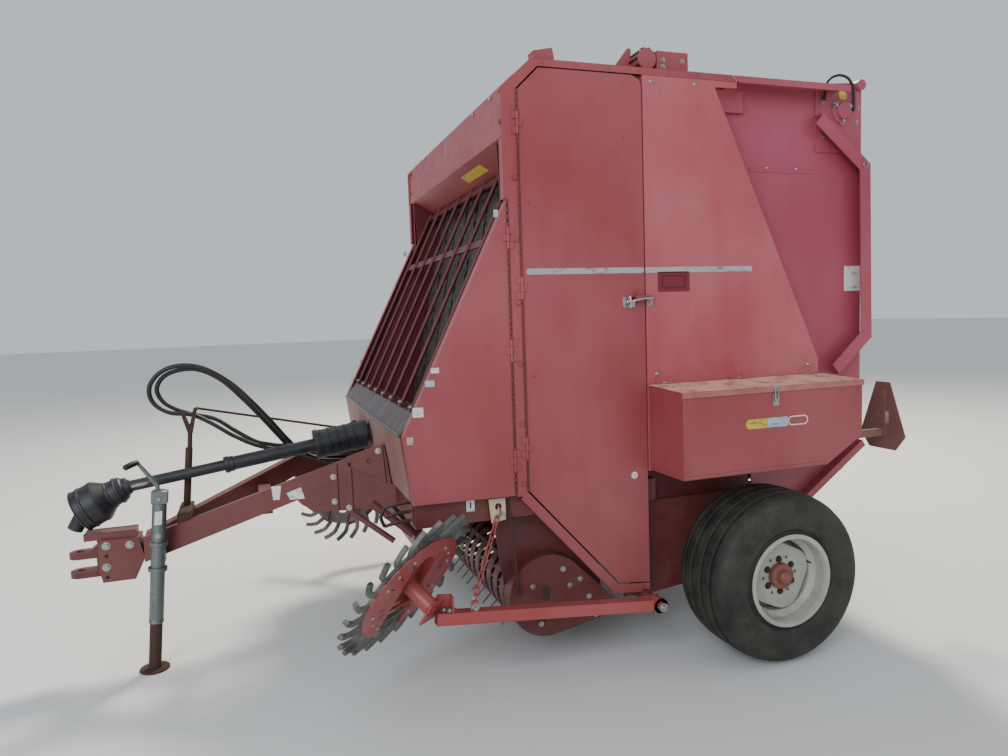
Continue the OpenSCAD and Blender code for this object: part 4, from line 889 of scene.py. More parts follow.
@dataclass
class Hoses:
    """The two hydraulic hoses that hang over the stand and return to the machine."""

    diameter: float = 22.0

    routes = {
        "hose_a": [
            (-1619.9, 105, 950), (-1649.6, 105, 946.1), (-1694.3, 105, 940.2), (-1840, 90, 934),
            (-1960, 74, 934), (-2078, 66, 944), (-2198, 60, 980), (-2306, 58, 1040), (-2400, 56, 1108),
            (-2490, 58, 1158), (-2590, 56, 1176), (-2660, 52, 1232), (-2668, 48, 1310), (-2612, 44, 1378),
            (-2520, 42, 1404), (-2408, 42, 1381), (-2300, 46, 1306), (-2205, 56, 1202), (-2120, 78, 1096),
            (-2050, 108, 1000), (-1975, 132, 915), (-1870, 142, 860), (-1760, 147, 845),
            (-1687.2, 148, 849.8), (-1642.6, 148, 855.5), (-1607.9, 148, 860)],
        "hose_b": [
            (-1621.3, 150, 960), (-1651, 150, 956.1), (-1695.7, 149.5, 950.2), (-1840, 114, 952),
            (-1960, 98, 952), (-2078, 92, 962), (-2190, 86, 992), (-2290, 82, 1056), (-2380, 82, 1124),
            (-2470, 83, 1152), (-2550, 82, 1182), (-2615, 78, 1228), (-2640, 74, 1292), (-2605, 70, 1352),
            (-2530, 67, 1381), (-2440, 67, 1376), (-2340, 71, 1318), (-2245, 80, 1216), (-2155, 102, 1104),
            (-2080, 132, 1004), (-2010, 158, 918), (-1900, 172, 872), (-1765, 179, 860),
            (-1688.8, 180, 861.8), (-1644.2, 180, 867.5), (-1609.5, 180, 872)],
    }

    def build(self) -> None:
        for name, route in self.routes.items():
            path = smooth_path(route, 5)
            tube = Form().tube(path, self.diameter / 2, 16).piece(
                name + "_rubber", "chassis", Coat.HOSE, angle=60, replaces=[name])
            metres = [at(*p) for p in path]
            tuple(metres[0])
            round(path_length(metres), 3)
            [tuple(p) for p in metres]


@dataclass
class Wheels:
    """Ribbed implement tyres on dished rims, with centre plates, nuts and hub caps."""

    middle_y: float = 1113.0
    radius: float = 385.0
    width: float = 340.0
    bulge_r: float = 292.0
    tread_edge: float = 146.0
    # powers of the tyre's section: below 1 the curve is fuller than an ellipse
    across_power: float = 0.55
    up_power: float = 0.5
    disc_y: float = 1176.0
    plate_r: float = 160.0
    plate_waist: float = 0.13
    nut_circle_r: float = 74.0
    hole_circle_r: float = 86.0
    hole_turn: float = 0.52
    grooves: tuple = (-98, -35, 35, 98)
    groove_w: float = 23.0
    groove_depth: float = 19.0

    def tread_radius(self, across: float) -> float:
        """Radius of the tyre at a distance from its middle plane."""
        c = (abs(across) / (self.width / 2)) ** (1 / self.across_power)
        s = math.sqrt(max(1 - c * c, 0))
        return self.bulge_r + (self.radius - self.bulge_r) * s ** self.up_power

    def section(self) -> Flat:
        """Half widths and radii round the tyre's section, from bead to bead."""
        edge, tread = self.tread_edge, []
        for g in self.grooves:
            h = self.groove_w / 2
            tread += [(g - h - 1.5, 0.0), (g - h, 2.0), (g - h + 1.5, self.groove_depth),
                      (g + h - 1.5, self.groove_depth), (g + h, 2.0), (g + h + 1.5, 0.0)]
        tread = [(-edge, 0.0), (-122, 0.0)] + tread + [(122, 0.0), (edge, 0.0)]
        middle = [(w, self.tread_radius(w) - d) for w, d in tread]
        walls = {}
        for side in SIDES:
            rows = []
            for k in range(15):
                a = math.radians(30 - 74 * k / 14)
                h = self.radius - self.bulge_r
                r = self.bulge_r + h * math.copysign(abs(math.sin(a)) ** self.up_power, math.sin(a))
                w = self.width / 2 * math.cos(a) ** self.across_power
                if w > edge:
                    rows.append((side * w, r))
            # thin grooves of the shoulder band and a raised ring above the bead
            walls[side] = rows + [(side * 150, 214), (side * 153, 210), (side * 150, 203), (side * 146, 191)]
        return walls[LEFT][::-1] + middle + walls[RIGHT]

    def plate_edge(self) -> Flat:
        """Outline of the centre plate: a circle with four shallow waists."""
        found = []
        for k in range(64):
            a = 2 * math.pi * k / 64
            r = self.plate_r * (1 - self.plate_waist * math.sin(2 * a + 0.7) ** 2)
            found.append((r * math.cos(a), r * math.sin(a)))
        return found

    def plate(self, side: int, name: str, turns: Sequence[float]) -> None:
        """Builds the pressed centre plate with its folded rim, in front of the rim's disc."""
        edge, z0, face_y = self.plate_edge(), self.radius, self.disc_y + 16
        holes = []
        for a in turns:
            c, s = math.cos(a + self.hole_turn), math.sin(a + self.hole_turn)
            holes.append(disc(-self.hole_circle_r * c, self.hole_circle_r * s, 7, 14))
        form = Form(side).sheet(edge, [disc(0, 0, 58), *holes], 6, (0, face_y - 3, z0), (-1, 0, 0))
        inner = [(-x * 0.985, face_y - 5, z0 + z * 0.985) for x, z in edge]
        outer = [(-x * 1.01, face_y - 30, z0 + z * 1.01) for x, z in edge]
        thin = [(-x * 0.96, face_y - 28, z0 + z * 0.96) for x, z in edge]
        back = [(x * 0.96, y - 1, z0 + (z - z0) * 0.96) for x, y, z in inner]
        form.skin([inner, outer, thin, back], closed=True)
        form.lathe((0, self.disc_y, z0), TO_RIGHT, [(4, 60), (12, 60), (12, 73), (4, 73)], 40, True)
        form.piece("rim_centre_plate_" + name, "wheel_" + name, Coat.RIM, bevel=1.5)

    def build(self, bolts: Fasteners) -> None:
        """Builds tyres, centre plates, caps and valves."""
        for side, name in SIDES.items():
            body, z0 = "wheel_" + name, self.radius
            tyre = Form(side).lathe((0, self.middle_y, z0), TO_RIGHT, self.section(), 96, closed=True)
            tyre.piece("tyre_carcass_" + name, body, Coat.TYRE, angle=28, replaces=["tyre_" + name])
            turns = [math.radians(93 + 60 * k) for k in range(6)]
            self.plate(side, name, turns)
            cap = [(0, 57.4), (24, 57.4), (28, 53), (28, 33), (46, 31), (54, 27), (59, 15), (60, 0)]
            Form(side).lathe((0, self.disc_y + 15, z0), TO_RIGHT, cap, 40).piece(
                "hub_cap_" + name, body, Coat.HUB, angle=50)
            nuts = [(self.nut_circle_r * math.cos(a), self.disc_y + 16, z0 + self.nut_circle_r * math.sin(a))
                    for a in turns]
            bolts.put(body, TO_RIGHT, 10.0, nuts, side, Head.NUT, Coat.RUSTY)
            turn, out = math.radians(15), 160
            spot = Vector((math.cos(turn), 0, math.sin(turn))) * out + Vector((0, 0, z0))
            path = [spot + Vector((0, self.disc_y + y, 0)) for y in (-12, 14, 20, 40)]
            Form(side).tube(path, [6, 6, 3.5, 3.5], 10).piece("valve_" + name, body, Coat.HOSE)


@dataclass
class RakeWheels:
    """Dished wheels with rubber fingers that rake the swath inward, on their arms."""

    middle: Point = (-1636.0, 975.0, 505.0)
    turn: float = 49.7
    dip: float = 34.5
    plate_r: float = 258.0
    tip_r: float = 356.0
    channel_half_w: float = 75.0
    channel_end: float = 95.0
    channel_depth: float = 38.0
    hub_r: float = 35.0
    bolt_circle_r: float = 208.0
    arm_y: float = 1045.0
    arm_pivot: tuple = (-540.0, 285.0)
    shackle_at: tuple = (-1389.0, 404.0)
    rail_y: float = 890.0

    def place(self) -> Matrix:
        """Carries the wheel's own frame, with its spindle along Z, to the machine, in millimetres."""
        return (Matrix.Translation(self.middle) @ Matrix.Rotation(math.radians(self.turn), 4, "Z")
                @ Matrix.Rotation(math.radians(90 + self.dip), 4, "Y"))

    def channel(self, from_x: float, grow: float) -> Flat:
        """Outline of the pressed channel: open towards its mouth, round at the other end."""
        half, end = self.channel_half_w + grow, -self.channel_end
        bow = [(end + half * math.cos(math.radians(a)), half * math.sin(math.radians(a)))
               for a in range(90, 271, 12)]
        return [(from_x, half), *bow, (from_x, -half)]

    def wheel(self, side: int, name: str, bolts: Fasteners) -> None:
        """Builds the pressed wheel with its hub."""
        mouth = math.sqrt(self.plate_r ** 2 - self.channel_half_w ** 2)
        start = math.asin(self.channel_half_w / self.plate_r)
        turns = [start + (2 * math.pi - 2 * start) * k / 72 for k in range(73)]
        rim = [(self.plate_r * math.cos(a), self.plate_r * math.sin(a)) for a in turns]
        cut = self.channel(mouth, 0)[::-1]
        form = Form(side, self.place())
        level = {"right": (1, 0, 0), "up": (0, 1, 0)}
        form.sheet([*rim, *cut[1:-1]], [], 7, (0, 0, 0), **level)
        wall = self.channel(mouth - 4, 0) + self.channel(mouth - 4, -5)[::-1]
        form.sheet(wall, [], self.channel_depth, (0, 0, -self.channel_depth / 2), **level)
        form.sheet(self.channel(150, 0), [], 5, (0, 0, -self.channel_depth), **level)
        hub = [(0, 46), (14, 42), (20, self.hub_r), (150, self.hub_r), (158, self.hub_r - 2)]
        form.lathe((0, 0, -self.channel_depth), UP, hub, 36)
        form.tube([(118, -70, -10), (118, 70, -10)], 9, 10)
        form.piece("rake_plate_" + name, "rake_" + name, Coat.RAKE, bevel=2.2,
                   replaces=["rake_wheel_" + name])
        self.bolt_ring(side, name, bolts)

    def bolt_ring(self, side: int, name: str, bolts: Fasteners) -> None:
        """Notes the screws that hold the rubber and builds the slots beside them."""
        matrix, r = self.place(), self.bolt_circle_r
        axis = matrix.to_3x3() @ Vector((0, 0, 1))
        spots = []
        for k in range(6):
            # two pairs stand further apart, beside the channel
            spread = 9 if k % 3 else 29
            for a in (math.radians(60 * k - spread), math.radians(60 * k + spread)):
                spots.append(matrix @ Vector((r * math.cos(a), r * math.sin(a), 4)))
        bolts.put("rake_" + name, axis, 8.5, spots, side, Head.ROUND)
        slots = Form(side, matrix)
        for k in range(6):
            a = math.radians(60 * k)
            for step in (-0.16, 0.16) if k % 3 else (-0.5, 0.5):
                c, s = math.cos(a + step), math.sin(a + step)
                middle = ((r - 44) * c, (r - 44) * s, 3.7)
                slots.sheet(pill(-16, -3.4, 16, 3.4, 3.3), [], 0.6, middle, (c, s, 0), (-s, c, 0))
        slots.piece("rake_slots_" + name, "rake_" + name, Coat.HOSE)

    def fingers(self, side: int, name: str) -> None:
        """Builds the ring of rubber with its fingers, hooked against the way it turns."""
        line = [(190, -6), (262, -6), (304, 4), (self.tip_r - 24, 34), (self.tip_r - 6, 62)]
        base = line_mesh("finger_line", [Vector((x, y, 0)) / 1000 for x, y in line])
        metres = Matrix.Translation(at(0, 0, 0)) @ Matrix.Scale(-1 if side == LEFT else 1, 4, (0, 1, 0))
        local = self.place()
        local.translation = local.translation / 1000
        drop = Matrix.Translation((0, 0, -0.0145))
        grown("rake_finger_ring_" + name, base, finger_tree(), {"Count": 24, "Width": 0.021, "Depth": 0.02},
              "rake_" + name, Coat.FINGER, metres @ local @ drop, ["rake_fingers_" + name])
        band = [(0, 178), (20.5, 178), (20.5, 246), (0, 246)]
        Form(side, self.place()).lathe((0, 0, -25), UP, band, 60, True).piece(
            "rake_rubber_band_" + name, "rake_" + name, Coat.FINGER)

    def arm(self, side: int, name: str, bolts: Fasteners) -> None:
        """Builds the bracket at the arm's front, its pivot washer and the chain's shackle."""
        body, y = "rake_arm_" + name, self.arm_y
        (px, pz), (sx, sz) = self.arm_pivot, self.shackle_at
        form = Form(side)
        form.prism([(-1556, 408), (-1482, 404), (-1482, 470), (-1540, 478), (-1560, 440)], y - 22, y - 14)
        form.block((-1490, y - 22, 404), (-1482, y + 24, 470))
        form.prism([(-1490, 404), (-1460, 402), (-1490, 440)], y - 4, y + 4)
        form.lathe((px, y + 24, pz), TO_RIGHT, [(0, 34), (6, 34), (6, 19), (26, 19), (26, 0)], 32)
        form.block((-620, y - 29, 268), (-560, y - 25, 318))
        form.piece("rake_arm_fittings_" + name, body, Coat.RAKE, bevel=1.5)
        bolts.put(body, TO_RIGHT, 14, [(px, y + 51, pz)], side)
        bolts.put(body, TO_RIGHT, 12, [(sx, y + 5, sz)], side, Head.NUT)
        bolts.put(body, UP, 10, [(-1520, y - 2, 416), (-1500, y + 12, 415)], side)
        shackle = [(sx, y - 12, sz), (sx, y - 14, sz + 21), (sx, y - 17, sz + 36), (sx, y - 20, sz + 21),
                   (sx, y - 24, sz)]
        pin = [(sx, y - 28, sz), (sx, y + 12, sz)]
        Form(side).bend(shackle, 3, 4.5, 8).tube(pin, 5, 8).piece(
            "rake_shackle_" + name, body, Coat.ZINC, angle=60)

    def anchor(self, side: int, name: str, bolts: Fasteners) -> None:
        """Builds the plate and hook that hold the chain's head, a blank label and the rod beside it."""
        y = self.rail_y
        plate = [(-1272, 812), (-1196, 812), (-1196, 716), (-1262, 706)]
        Form(side).sheet(plate, [disc(-1229, 776, 15, 18)], 5, (0, y + 17, 0)).piece(
            "chain_plate_" + name, "chassis", Coat.CREAM, bevel=1)
        Form(side).tube([(-1230, y + 4, 778), (-1229, y + 22, 774), (-1226, y + 22, 752)], 4.5, 10).piece(
            "chain_hook_" + name, "chassis", Coat.ZINC, angle=60)
        film("rail_blank_label_" + name, "chassis", Coat.WHITE_FILM, side, y + 0.4,
             pill(-1366, 764, -1330, 816, 2), [pill(-1352, 776, -1344, 804, 3.9)])
        rod = [(-1184, y + 10, 800), (-1176, y + 13, 723), (-1160, y + 20, 540), (-1151, y + 16, 366)]
        Form(side).bend(rod, 4, 5, 10).piece("pickup_rod_" + name, "chassis", Coat.RUSTY, angle=60)
        bolts.put("chassis", TO_RIGHT, 8, [(-1210, y + 19.5, 738)], side)

    def chain(self, side: int, name: str, links: Tree) -> None:
        """Builds the chain that holds the arm up."""
        sx, sz = self.shackle_at
        foot, head = Vector((sx, self.arm_y - 16.6, sz + 21)), Vector((-1223, 904.4, 760))
        path = [at(p.x, p.y * side, p.z) for p in (foot + (head - foot) * k / 6 for k in range(7))]
        way = (path[-1] - path[0]).normalized() * 0.014
        path = [p + way for p in path]
        grown("rake_chain_links_" + name, line_mesh("chain_line", path), links,
              {"Pitch": 0.0296, "Length": 0.04, "Width": 0.02, "Wire": 0.0034}, "rake_arm_" + name, Coat.RAKE,
              replaces=["rake_chain_" + name])

    def build(self, bolts: Fasteners) -> None:
        """Builds both rake wheels."""
        inputs = [("Length", "Float", 0.04), ("Width", "Float", 0.02), ("Wire", "Float", 0.0034)]
        links = path_tree("links_on_path", inputs, "X", math.pi / 2, link_shape)
        for side, name in SIDES.items():
            self.wheel(side, name, bolts)
            self.fingers(side, name)
            self.arm(side, name, bolts)
            self.anchor(side, name, bolts)
            self.chain(side, name, links)


@dataclass
class Shields:
    """Hinges, bolts, latches, stripes and blank stickers of the side shields."""

    post_bolts: tuple = (2160, 1906, 1643, 1386, 1129, 870)
    door_runs: tuple = ((845, 972), (1078, 1652), (1758, 2332), (2438, 2512))
    wedge_runs: tuple = ((835, 922), (1028, 1392), (1498, 1862), (1968, 2060))
    seam_x: float = -514.0
    stripe: tuple = (-1078.0, 56.0, 1761.0, 1786.0)

    def hinges(self, side: int, name: str, tree: Tree) -> None:
        """Builds the piano hinges between the shields' own hinges."""
        for label, x, runs in (("door", -1101, self.door_runs), ("front", -1157, self.wedge_runs)):
            for count, (low, high) in enumerate(runs):
                line = line_mesh("hinge_line", [at(x, (SHIELD_Y + 4) * side, z) for z in (low, high)])
                grown(f"{label}_piano_hinge_{name}_{count}", line, tree, {"Pitch": 0.024, "Radius": 0.0042},
                      "chassis", Coat.FRAME)

    def stripes(self, side: int, name: str) -> None:
        """Builds the plain silver stripe, parted at the door's seam, and the blank red reflector."""
        x0, x1, z0, z1 = self.stripe
        half = (z1 - z0) / 2
        for body, part, low, high in (("door_" + name, "door", x0, self.seam_x - 4),
                                      ("chassis", "rear", self.seam_x + 4, x1)):
            ends = pill(low, z0, high, z1, half) if low == x0 else pill(low, z0, high, z1, 1)
            film(f"silver_stripe_{part}_{name}", body, Coat.SILVER_FILM, side, SHIELD_Y + FILM_OFF, ends)
        film("reflector_" + name, "chassis", Coat.RED_FILM, side, SHIELD_Y + FILM_OFF,
             pill(-450, 1675, -285, 1765, 6))
        film("reflector_frame_" + name, "chassis", Coat.CRIMSON, side, SHIELD_Y + 0.4,
             pill(-430, 1690, -305, 1750, 3), [pill(-422, 1698, -313, 1742, 3)], 1.4)

    def stickers(self, side: int, name: str) -> None:
        """Builds the blank stickers along the front shield's sloping edge."""
        rows = ((-1206, 2014, 20, 30, Coat.BLUE_FILM), (-1490, 1379, 34, 22, Coat.WHITE_FILM),
                (-1514, 1326, 38, 26, Coat.BLUE_FILM), (-1568, 1212, 44, 40, Coat.WHITE_FILM),
                (-1606, 1098, 26, 30, Coat.BEIGE_FILM))
        for count, (x, z, w, h, coat) in enumerate(rows):
            film(f"edge_sticker_{name}_{count}", "front_door_" + name, coat, side, SHIELD_Y + FILM_OFF,
                 pill(x - w / 2, z - h / 2, x + w / 2, z + h / 2, 2))

    def latch(self, side: int, name: str, bolts: Fasteners) -> None:
        """Builds the chromed over-centre latch on the door and its keeper."""
        y = SHIELD_Y
        form = Form(side).sheet(pill(-628, 1610, -568, 1656, 8), [], 3, (0, y + 1.6, 0))
        form.lathe((-596, y, 1634), TO_RIGHT, [(3, 13), (14, 12), (20, 9), (22, 4)], 24)
        lever = [(-596, y + 16, 1634), (-580, y + 30, 1640), (-548, y + 34, 1646), (-505, y + 33, 1648),
                 (-492, y + 28, 1648)]
        form.bend(lever, 3, [6] * 6 + [5] * 6 + [4], 12)
        form.tube([(-600, y + 18, 1608), (-598, y + 24, 1634), (-600, y + 18, 1660)], [5, 6, 5], 10)
        form.piece("door_latch_" + name, "door_" + name, Coat.CHROME, bevel=0.8)
        keeper = Form(side).block((-507, y, 1612), (-480, y + 5, 1654))
        keeper.block((-500, y + 5, 1622), (-488, y + 20, 1640)).piece(
            "latch_keeper_" + name, "chassis", Coat.ZINC, bevel=1)
        bolts.put("door_" + name, TO_RIGHT, 5, [(-620, y + 3, 1618), (-620, y + 3, 1648)], side, Head.ROUND)

    def build(self, bolts: Fasteners) -> None:
        """Builds the fittings of both sides."""
        tree = path_tree("knuckles_on_path", [("Radius", "Float", 0.004)], "Z", 0.0, knuckle_shape)
        y = SHIELD_Y
        for side, name in SIDES.items():
            self.hinges(side, name, tree)
            self.stripes(side, name)
            self.stickers(side, name)
            self.latch(side, name, bolts)
            bolts.put("chassis", TO_RIGHT, 9, [(-1122, y + 1, z) for z in self.post_bolts], side,
                      coat=Coat.SHIELD)
            corners = [(-468, y, 2594), (-246, y, 2595), (-461, y, 1306), (380, y, 1306)]
            bolts.put("chassis", TO_RIGHT, 10, corners, side, Head.ROUND)
            bolts.put("chassis", TO_RIGHT, 7, [(x, y, ROOF_Z - 15) for x in range(-980, -60, 150)], side,
                      Head.ROUND, Coat.SHIELD)
            door = [(-610, y, 2347), (-1060, y, 1330), (-1060, y, 2060)]
            bolts.put("door_" + name, TO_RIGHT, 6, door, side, Head.ROUND, Coat.SHIELD)
            Form(side).prism([(-232, 2480), (28, 2480), (28, 2637), (-232, 2637)], 814, 821).piece(
                "pivot_closing_plate_" + name, "chassis", Coat.CRIMSON)


@dataclass
class TwineBox:
    """Latch, plain stripes and fittings of the twine box on the left."""

    face_y: float = 1217.0

    def build(self, bolts: Fasteners) -> None:
        """Builds the fittings."""
        y = self.face_y
        bail = [(-44, y + 6, 1176), (-44, y + 9, 1236), (-28, y + 9, 1236), (-28, y + 6, 1176)]
        latch = Form(LEFT).sheet(pill(-52, 1160, -20, 1214, 5), [], 3, (0, y + 1.6, 0)).tube(bail, 3, 8)
        latch.lathe((-36, y, 1184), TO_RIGHT, [(3, 9), (10, 9), (12, 4)], 16)
        latch.piece("box_latch", "chassis", Coat.ZINC, bevel=0.6)
        Form(LEFT).block((-50, y - 1, 1228), (-22, y + 8, 1248)).piece(
            "box_latch_hook", "twine_box_lid", Coat.ZINC, bevel=1)
        z0, z1 = 1066, 1108
        left_end = pill(-192, z0, -40, z1, 20)[7:21]
        inside = pill(34, z0 + 5, 132, z1 - 5, 16)
        shapes = {"outline": (pill(30, z0, 137, z1, 20), [inside], Coat.WHITE_FILM),
                  "blue": (pill(-80, z0, 28, z1, 6), [], Coat.BLUE_FILM),
                  "yellow": ([(-82, z1), *left_end, (-82, z0)], [], Coat.YELLOW_FILM)}
        for name, (edge, holes, coat) in shapes.items():
            film("box_stripe_" + name, "chassis", coat, LEFT, y + FILM_OFF, edge, holes)
        # folded flanges at the box's ends and the hem under its lid
        rim = Form(LEFT)
        for x in (-506.5, 443.5):
            rim.block((x, SHIELD_Y + 6, 880 if x < 0 else 998), (x + 3, y - 2, 890 if x < 0 else 1008))
        rim.block((-500, y - 0.5, 876), (240, y + 2.5, 888))
        rim.piece("box_flanges", "chassis", Coat.SHIELD, bevel=1)
        corners = [(-486, y, 905), (-486, y, 1205), (425, y, 1030), (425, y, 1205)]
        bolts.put("chassis", TO_RIGHT, 6, corners, LEFT, Head.ROUND, Coat.SHIELD)
        film("round_blank_label", "door_left", Coat.WHITE_FILM, LEFT, SHIELD_Y + 0.4,
             disc(-586, 853, 16, 20), thick=1)
        pipe = [(-400, 900, 860), (-300, 905, 830), (-180, 900, 838), (-40, 895, 856)]
        under = Form(LEFT).bend(pipe, 4, 7, 10)
        under.lathe((-10, 880, 845), TO_RIGHT, [(0, 20), (26, 20), (30, 12)], 20)
        under.piece("box_underside_pipe", "chassis", Coat.BLACK, bevel=1)


@dataclass
class FrontOpening:
    """Bolts and edges of the header and the apron, and the roller behind the grille."""

    roller_at: tuple = (-1165.0, 1010.0)
    lag_strips: int = 8

    def build(self, bolts: Fasteners) -> None:
        """Builds the bolts, the blank label, the apron's lip and the roller's lagging."""
        for side in SIDES:
            bolts.put("chassis", TO_FRONT, 9, [(-1158, 905, 2520), (-1163, 905, 2395)], side,
                      coat=Coat.SHIELD)
            bolts.put("chassis", TO_FRONT, 8, [(-1156, 760, 2528), (-1156, 500, 2528)], side, Head.ROUND)
        slope = Vector((162, 0, -92)).normalized()
        label = [(0, 0), (330, 0), (330, 52), (0, 52)]
        Form().sheet(label, [], 0.8, (-1120, -470, 2308.3), (0, 1, 0), slope).piece(
            "soffit_blank_label", "chassis", Coat.YELLOW_FILM)
        lip = [(-1643, y, 1116) for y in (-880, 880)]
        Form().tube(lip, 6, 10).piece("apron_lip", "chassis", Coat.GALVANISED)
        for step in (12, -12):
            bolts.put("chassis", UP, 8, [(-1568, k * 228 - 114 + step, 1219) for k in range(-3, 5)])
        # lagging strips round the roller behind the grille
        lag, (x, z) = Form(), self.roller_at
        for c, s in spokes(self.lag_strips):
            lag.prism([(x + 83 * c - 6 * s, z + 83 * s + 6 * c), (x + 92 * c - 5 * s, z + 92 * s + 5 * c),
                       (x + 92 * c + 5 * s, z + 92 * s - 5 * c), (x + 83 * c + 6 * s, z + 83 * s - 6 * c)],
                      -780, 780)
        lag.piece("roller_lagging", "chassis", Coat.HOSE, bevel=2)


@dataclass
class Tongue:
    """Plates, brackets and bolts on the drawbar."""

    slope_deg: float = 19.96
    nose_x: float = -2700.0
    nose_y: float = 75.0

    def along(self, x: float, z: float, out: float = 0.0) -> Vector:
        """Point on the outer face of the rail at x, moved out from it."""
        t = math.radians(self.slope_deg)
        run = (x - self.nose_x) * math.tan(t)
        return Vector((x - out * math.sin(t), self.nose_y + run + out * math.cos(t), z))

    def build(self, bolts: Fasteners) -> None:
        """Builds the root's gussets, brackets, bolts, welds and blank stickers."""
        t = math.radians(self.slope_deg)
        right, out = (math.cos(t), math.sin(t), 0), (-math.sin(t), math.cos(t), 0)
        hole = disc(-1700 / right[0], 937, 12, 16)
        shapes = (([(-1804, 960), (-1640, 1018), (-1630, 832), (-1797, 917)], [hole]),
                  ([(-1879, 915), (-1845, 927), (-1845, 690), (-1879, 690)], []),
                  ([(-1815, 930), (-1782, 942), (-1782, 690), (-1815, 690)], []))
        for side, name in SIDES.items():
            form = Form(side)
            for edge, holes in shapes:
                # the plate lies on the rail's face, whose own zero is where x is zero
                form.sheet([(x / right[0], z) for x, z in edge], holes, 7, self.along(0, 0, 4), right)
            form.tube([self.along(-1786, 700, 16), self.along(-1605, 557, 16)], 14, 12)
            form.piece("tongue_plates_" + name, "chassis", Coat.FRAME, bevel=1.5)
            rail = [self.along(x, z, 8) for x, z in ((-1862, 751), (-1862, 868), (-1799, 720), (-1660, 985))]
            bolts.put("chassis", out, 10, rail, side)
            bolts.put("chassis", TO_RIGHT, 13, [(-2890, 60, 581), (-2894, 60, 480), (-2790, 60, 575)], side)
            bolts.put("chassis", TO_RIGHT, 8, [(-2892, 60, 532), (-2894, 60, 431)], side, Head.ROUND,
                      Coat.HOSE)
        for label, edge in (("a", [(-2142, 830), (-2098, 832), (-2108, 766), (-2136, 764)]),
                            ("b", [(-2076, 796), (-2010, 822), (-1996, 768), (-2060, 764)])):
            flat = [(x / right[0], z) for x, z in edge]
            Form(LEFT).sheet(flat, [], 0.8, self.along(0, 0, 0.5), right).piece(
                "torn_sticker_" + label, "chassis", Coat.WHITE_FILM)
        # welded seam and lip of the clevis cap
        welds = Form()
        for y in (-44, 44):
            welds.tube([(-2984, y, 640), (-2762, y, 640)], 3, 8)
        welds.bend([(-2750, -58, 604), (-2744, 0, 606), (-2750, 58, 604)], 3, 4, 8)
        welds.piece("hitch_welds", "chassis", Coat.FRAME, angle=60)


@dataclass
class Jack:
    """Cap, crank grip and collar of the jack, which leans forward at its foot."""

    lean: float = 5.2
    foot: Point = (-2707.0, -170.0, 0.0)

    def build(self, bolts: Fasteners) -> None:
        """Builds the jack's turned and formed details."""
        place = Matrix.Translation(self.foot) @ Matrix.Rotation(math.radians(self.lean), 4, "Y")
        form = Form(place=place)
        form.lathe((0, 0, 786), UP, [(0, 33.5), (4, 37), (56, 37), (62, 30), (64, 0)], 8)
        form.lathe((0, 0, 224), UP, [(0, 33), (14, 33), (16, 31.6), (-2, 28)], 32, True)
        for z in (470, 590):
            form.lathe((0, 0, z), UP, [(-1, 42), (17, 42), (17, 31), (-1, 31)], 32, True)
        form.tube([(-10, 0, 840), (-10, 0, 868), (-14, -1, 876), (-100, -10, 980), (-104, -14, 984)], 8.5, 12)
        form.piece("jack_cap", "chassis", Coat.GALVANISED, bevel=1.5)
        grip = [(-98, -8, 977), (-110, -30, 975), (-136, -78, 966), (-138, -82, 965)]
        Form(place=place).tube(grip, [12, 14, 13, 8], 14).piece("jack_grip", "chassis", Coat.HOSE, angle=60)
        sticker = [(-17, 690), (15, 694), (15, 756), (-15, 752)]
        Form(place=place).sheet(sticker, [], 1, (0, -32.4, 0)).piece(
            "jack_blank_sticker", "chassis", Coat.WHITE_FILM)
        bolts.put("chassis", (0, -1, 0), 9, [place @ Vector((0, -33, 812)), place @ Vector((0, -33, 640))])


@dataclass
class Driveline:
    """Guard cones, collars and ribs of the driveline."""

    front: Point = (-2805.0, 0.0, 838.0)
    slope: float = 8.06
    bell: tuple = ((-24, 30), (-22, 42), (-6, 45), (0, 56), (18, 62), (22, 66), (30, 66), (34, 61), (58, 63),
                   (62, 67), (70, 67), (74, 64), (112, 99), (118, 102), (126, 102), (128, 99), (168, 99.5),
                   (172, 103), (180, 103), (184, 100), (206, 100), (211, 103), (214, 100), (214, 95))
    collars: tuple = ((-2790, 34), (-2340, 41), (-2318, 38), (-1902, 78))

    def build(self, bolts: Fasteners) -> None:
        """Builds the moulded details of the guard."""
        t = math.radians(self.slope)
        along = Vector((math.cos(t), 0, math.sin(t)))
        form = Form().lathe(self.front, Vector((-191, 0, -93)).normalized(), self.bell, 48)
        for x, r in self.collars:
            centre = Vector(self.front) + along * ((x - self.front[0]) / math.cos(t))
            form.lathe(centre, along, [(-12, r - 5), (-10, r), (10, r), (12, r - 5)], 32)
        for k in range(5):
            centre = Vector(self.front) + along * ((-1880 + k * 42 - self.front[0]) / math.cos(t))
            form.lathe(centre, along, [(-4, 72), (-2, 76), (2, 76), (4, 72)], 40)
        form.piece("driveline_guard", "chassis", Coat.GUARD, angle=28)
        middle = Vector(self.front) + along * 34 + Vector((0, -27.6, 0))
        scuff = [(0, -8), (22, -12), (64, -6), (80, 6), (40, 10), (6, 8)]
        Form().sheet(scuff, [], 0.7, middle, tuple(along), (0, -0.3, 1)).piece(
            "driveline_scuff", "chassis", Coat.BEIGE_FILM)


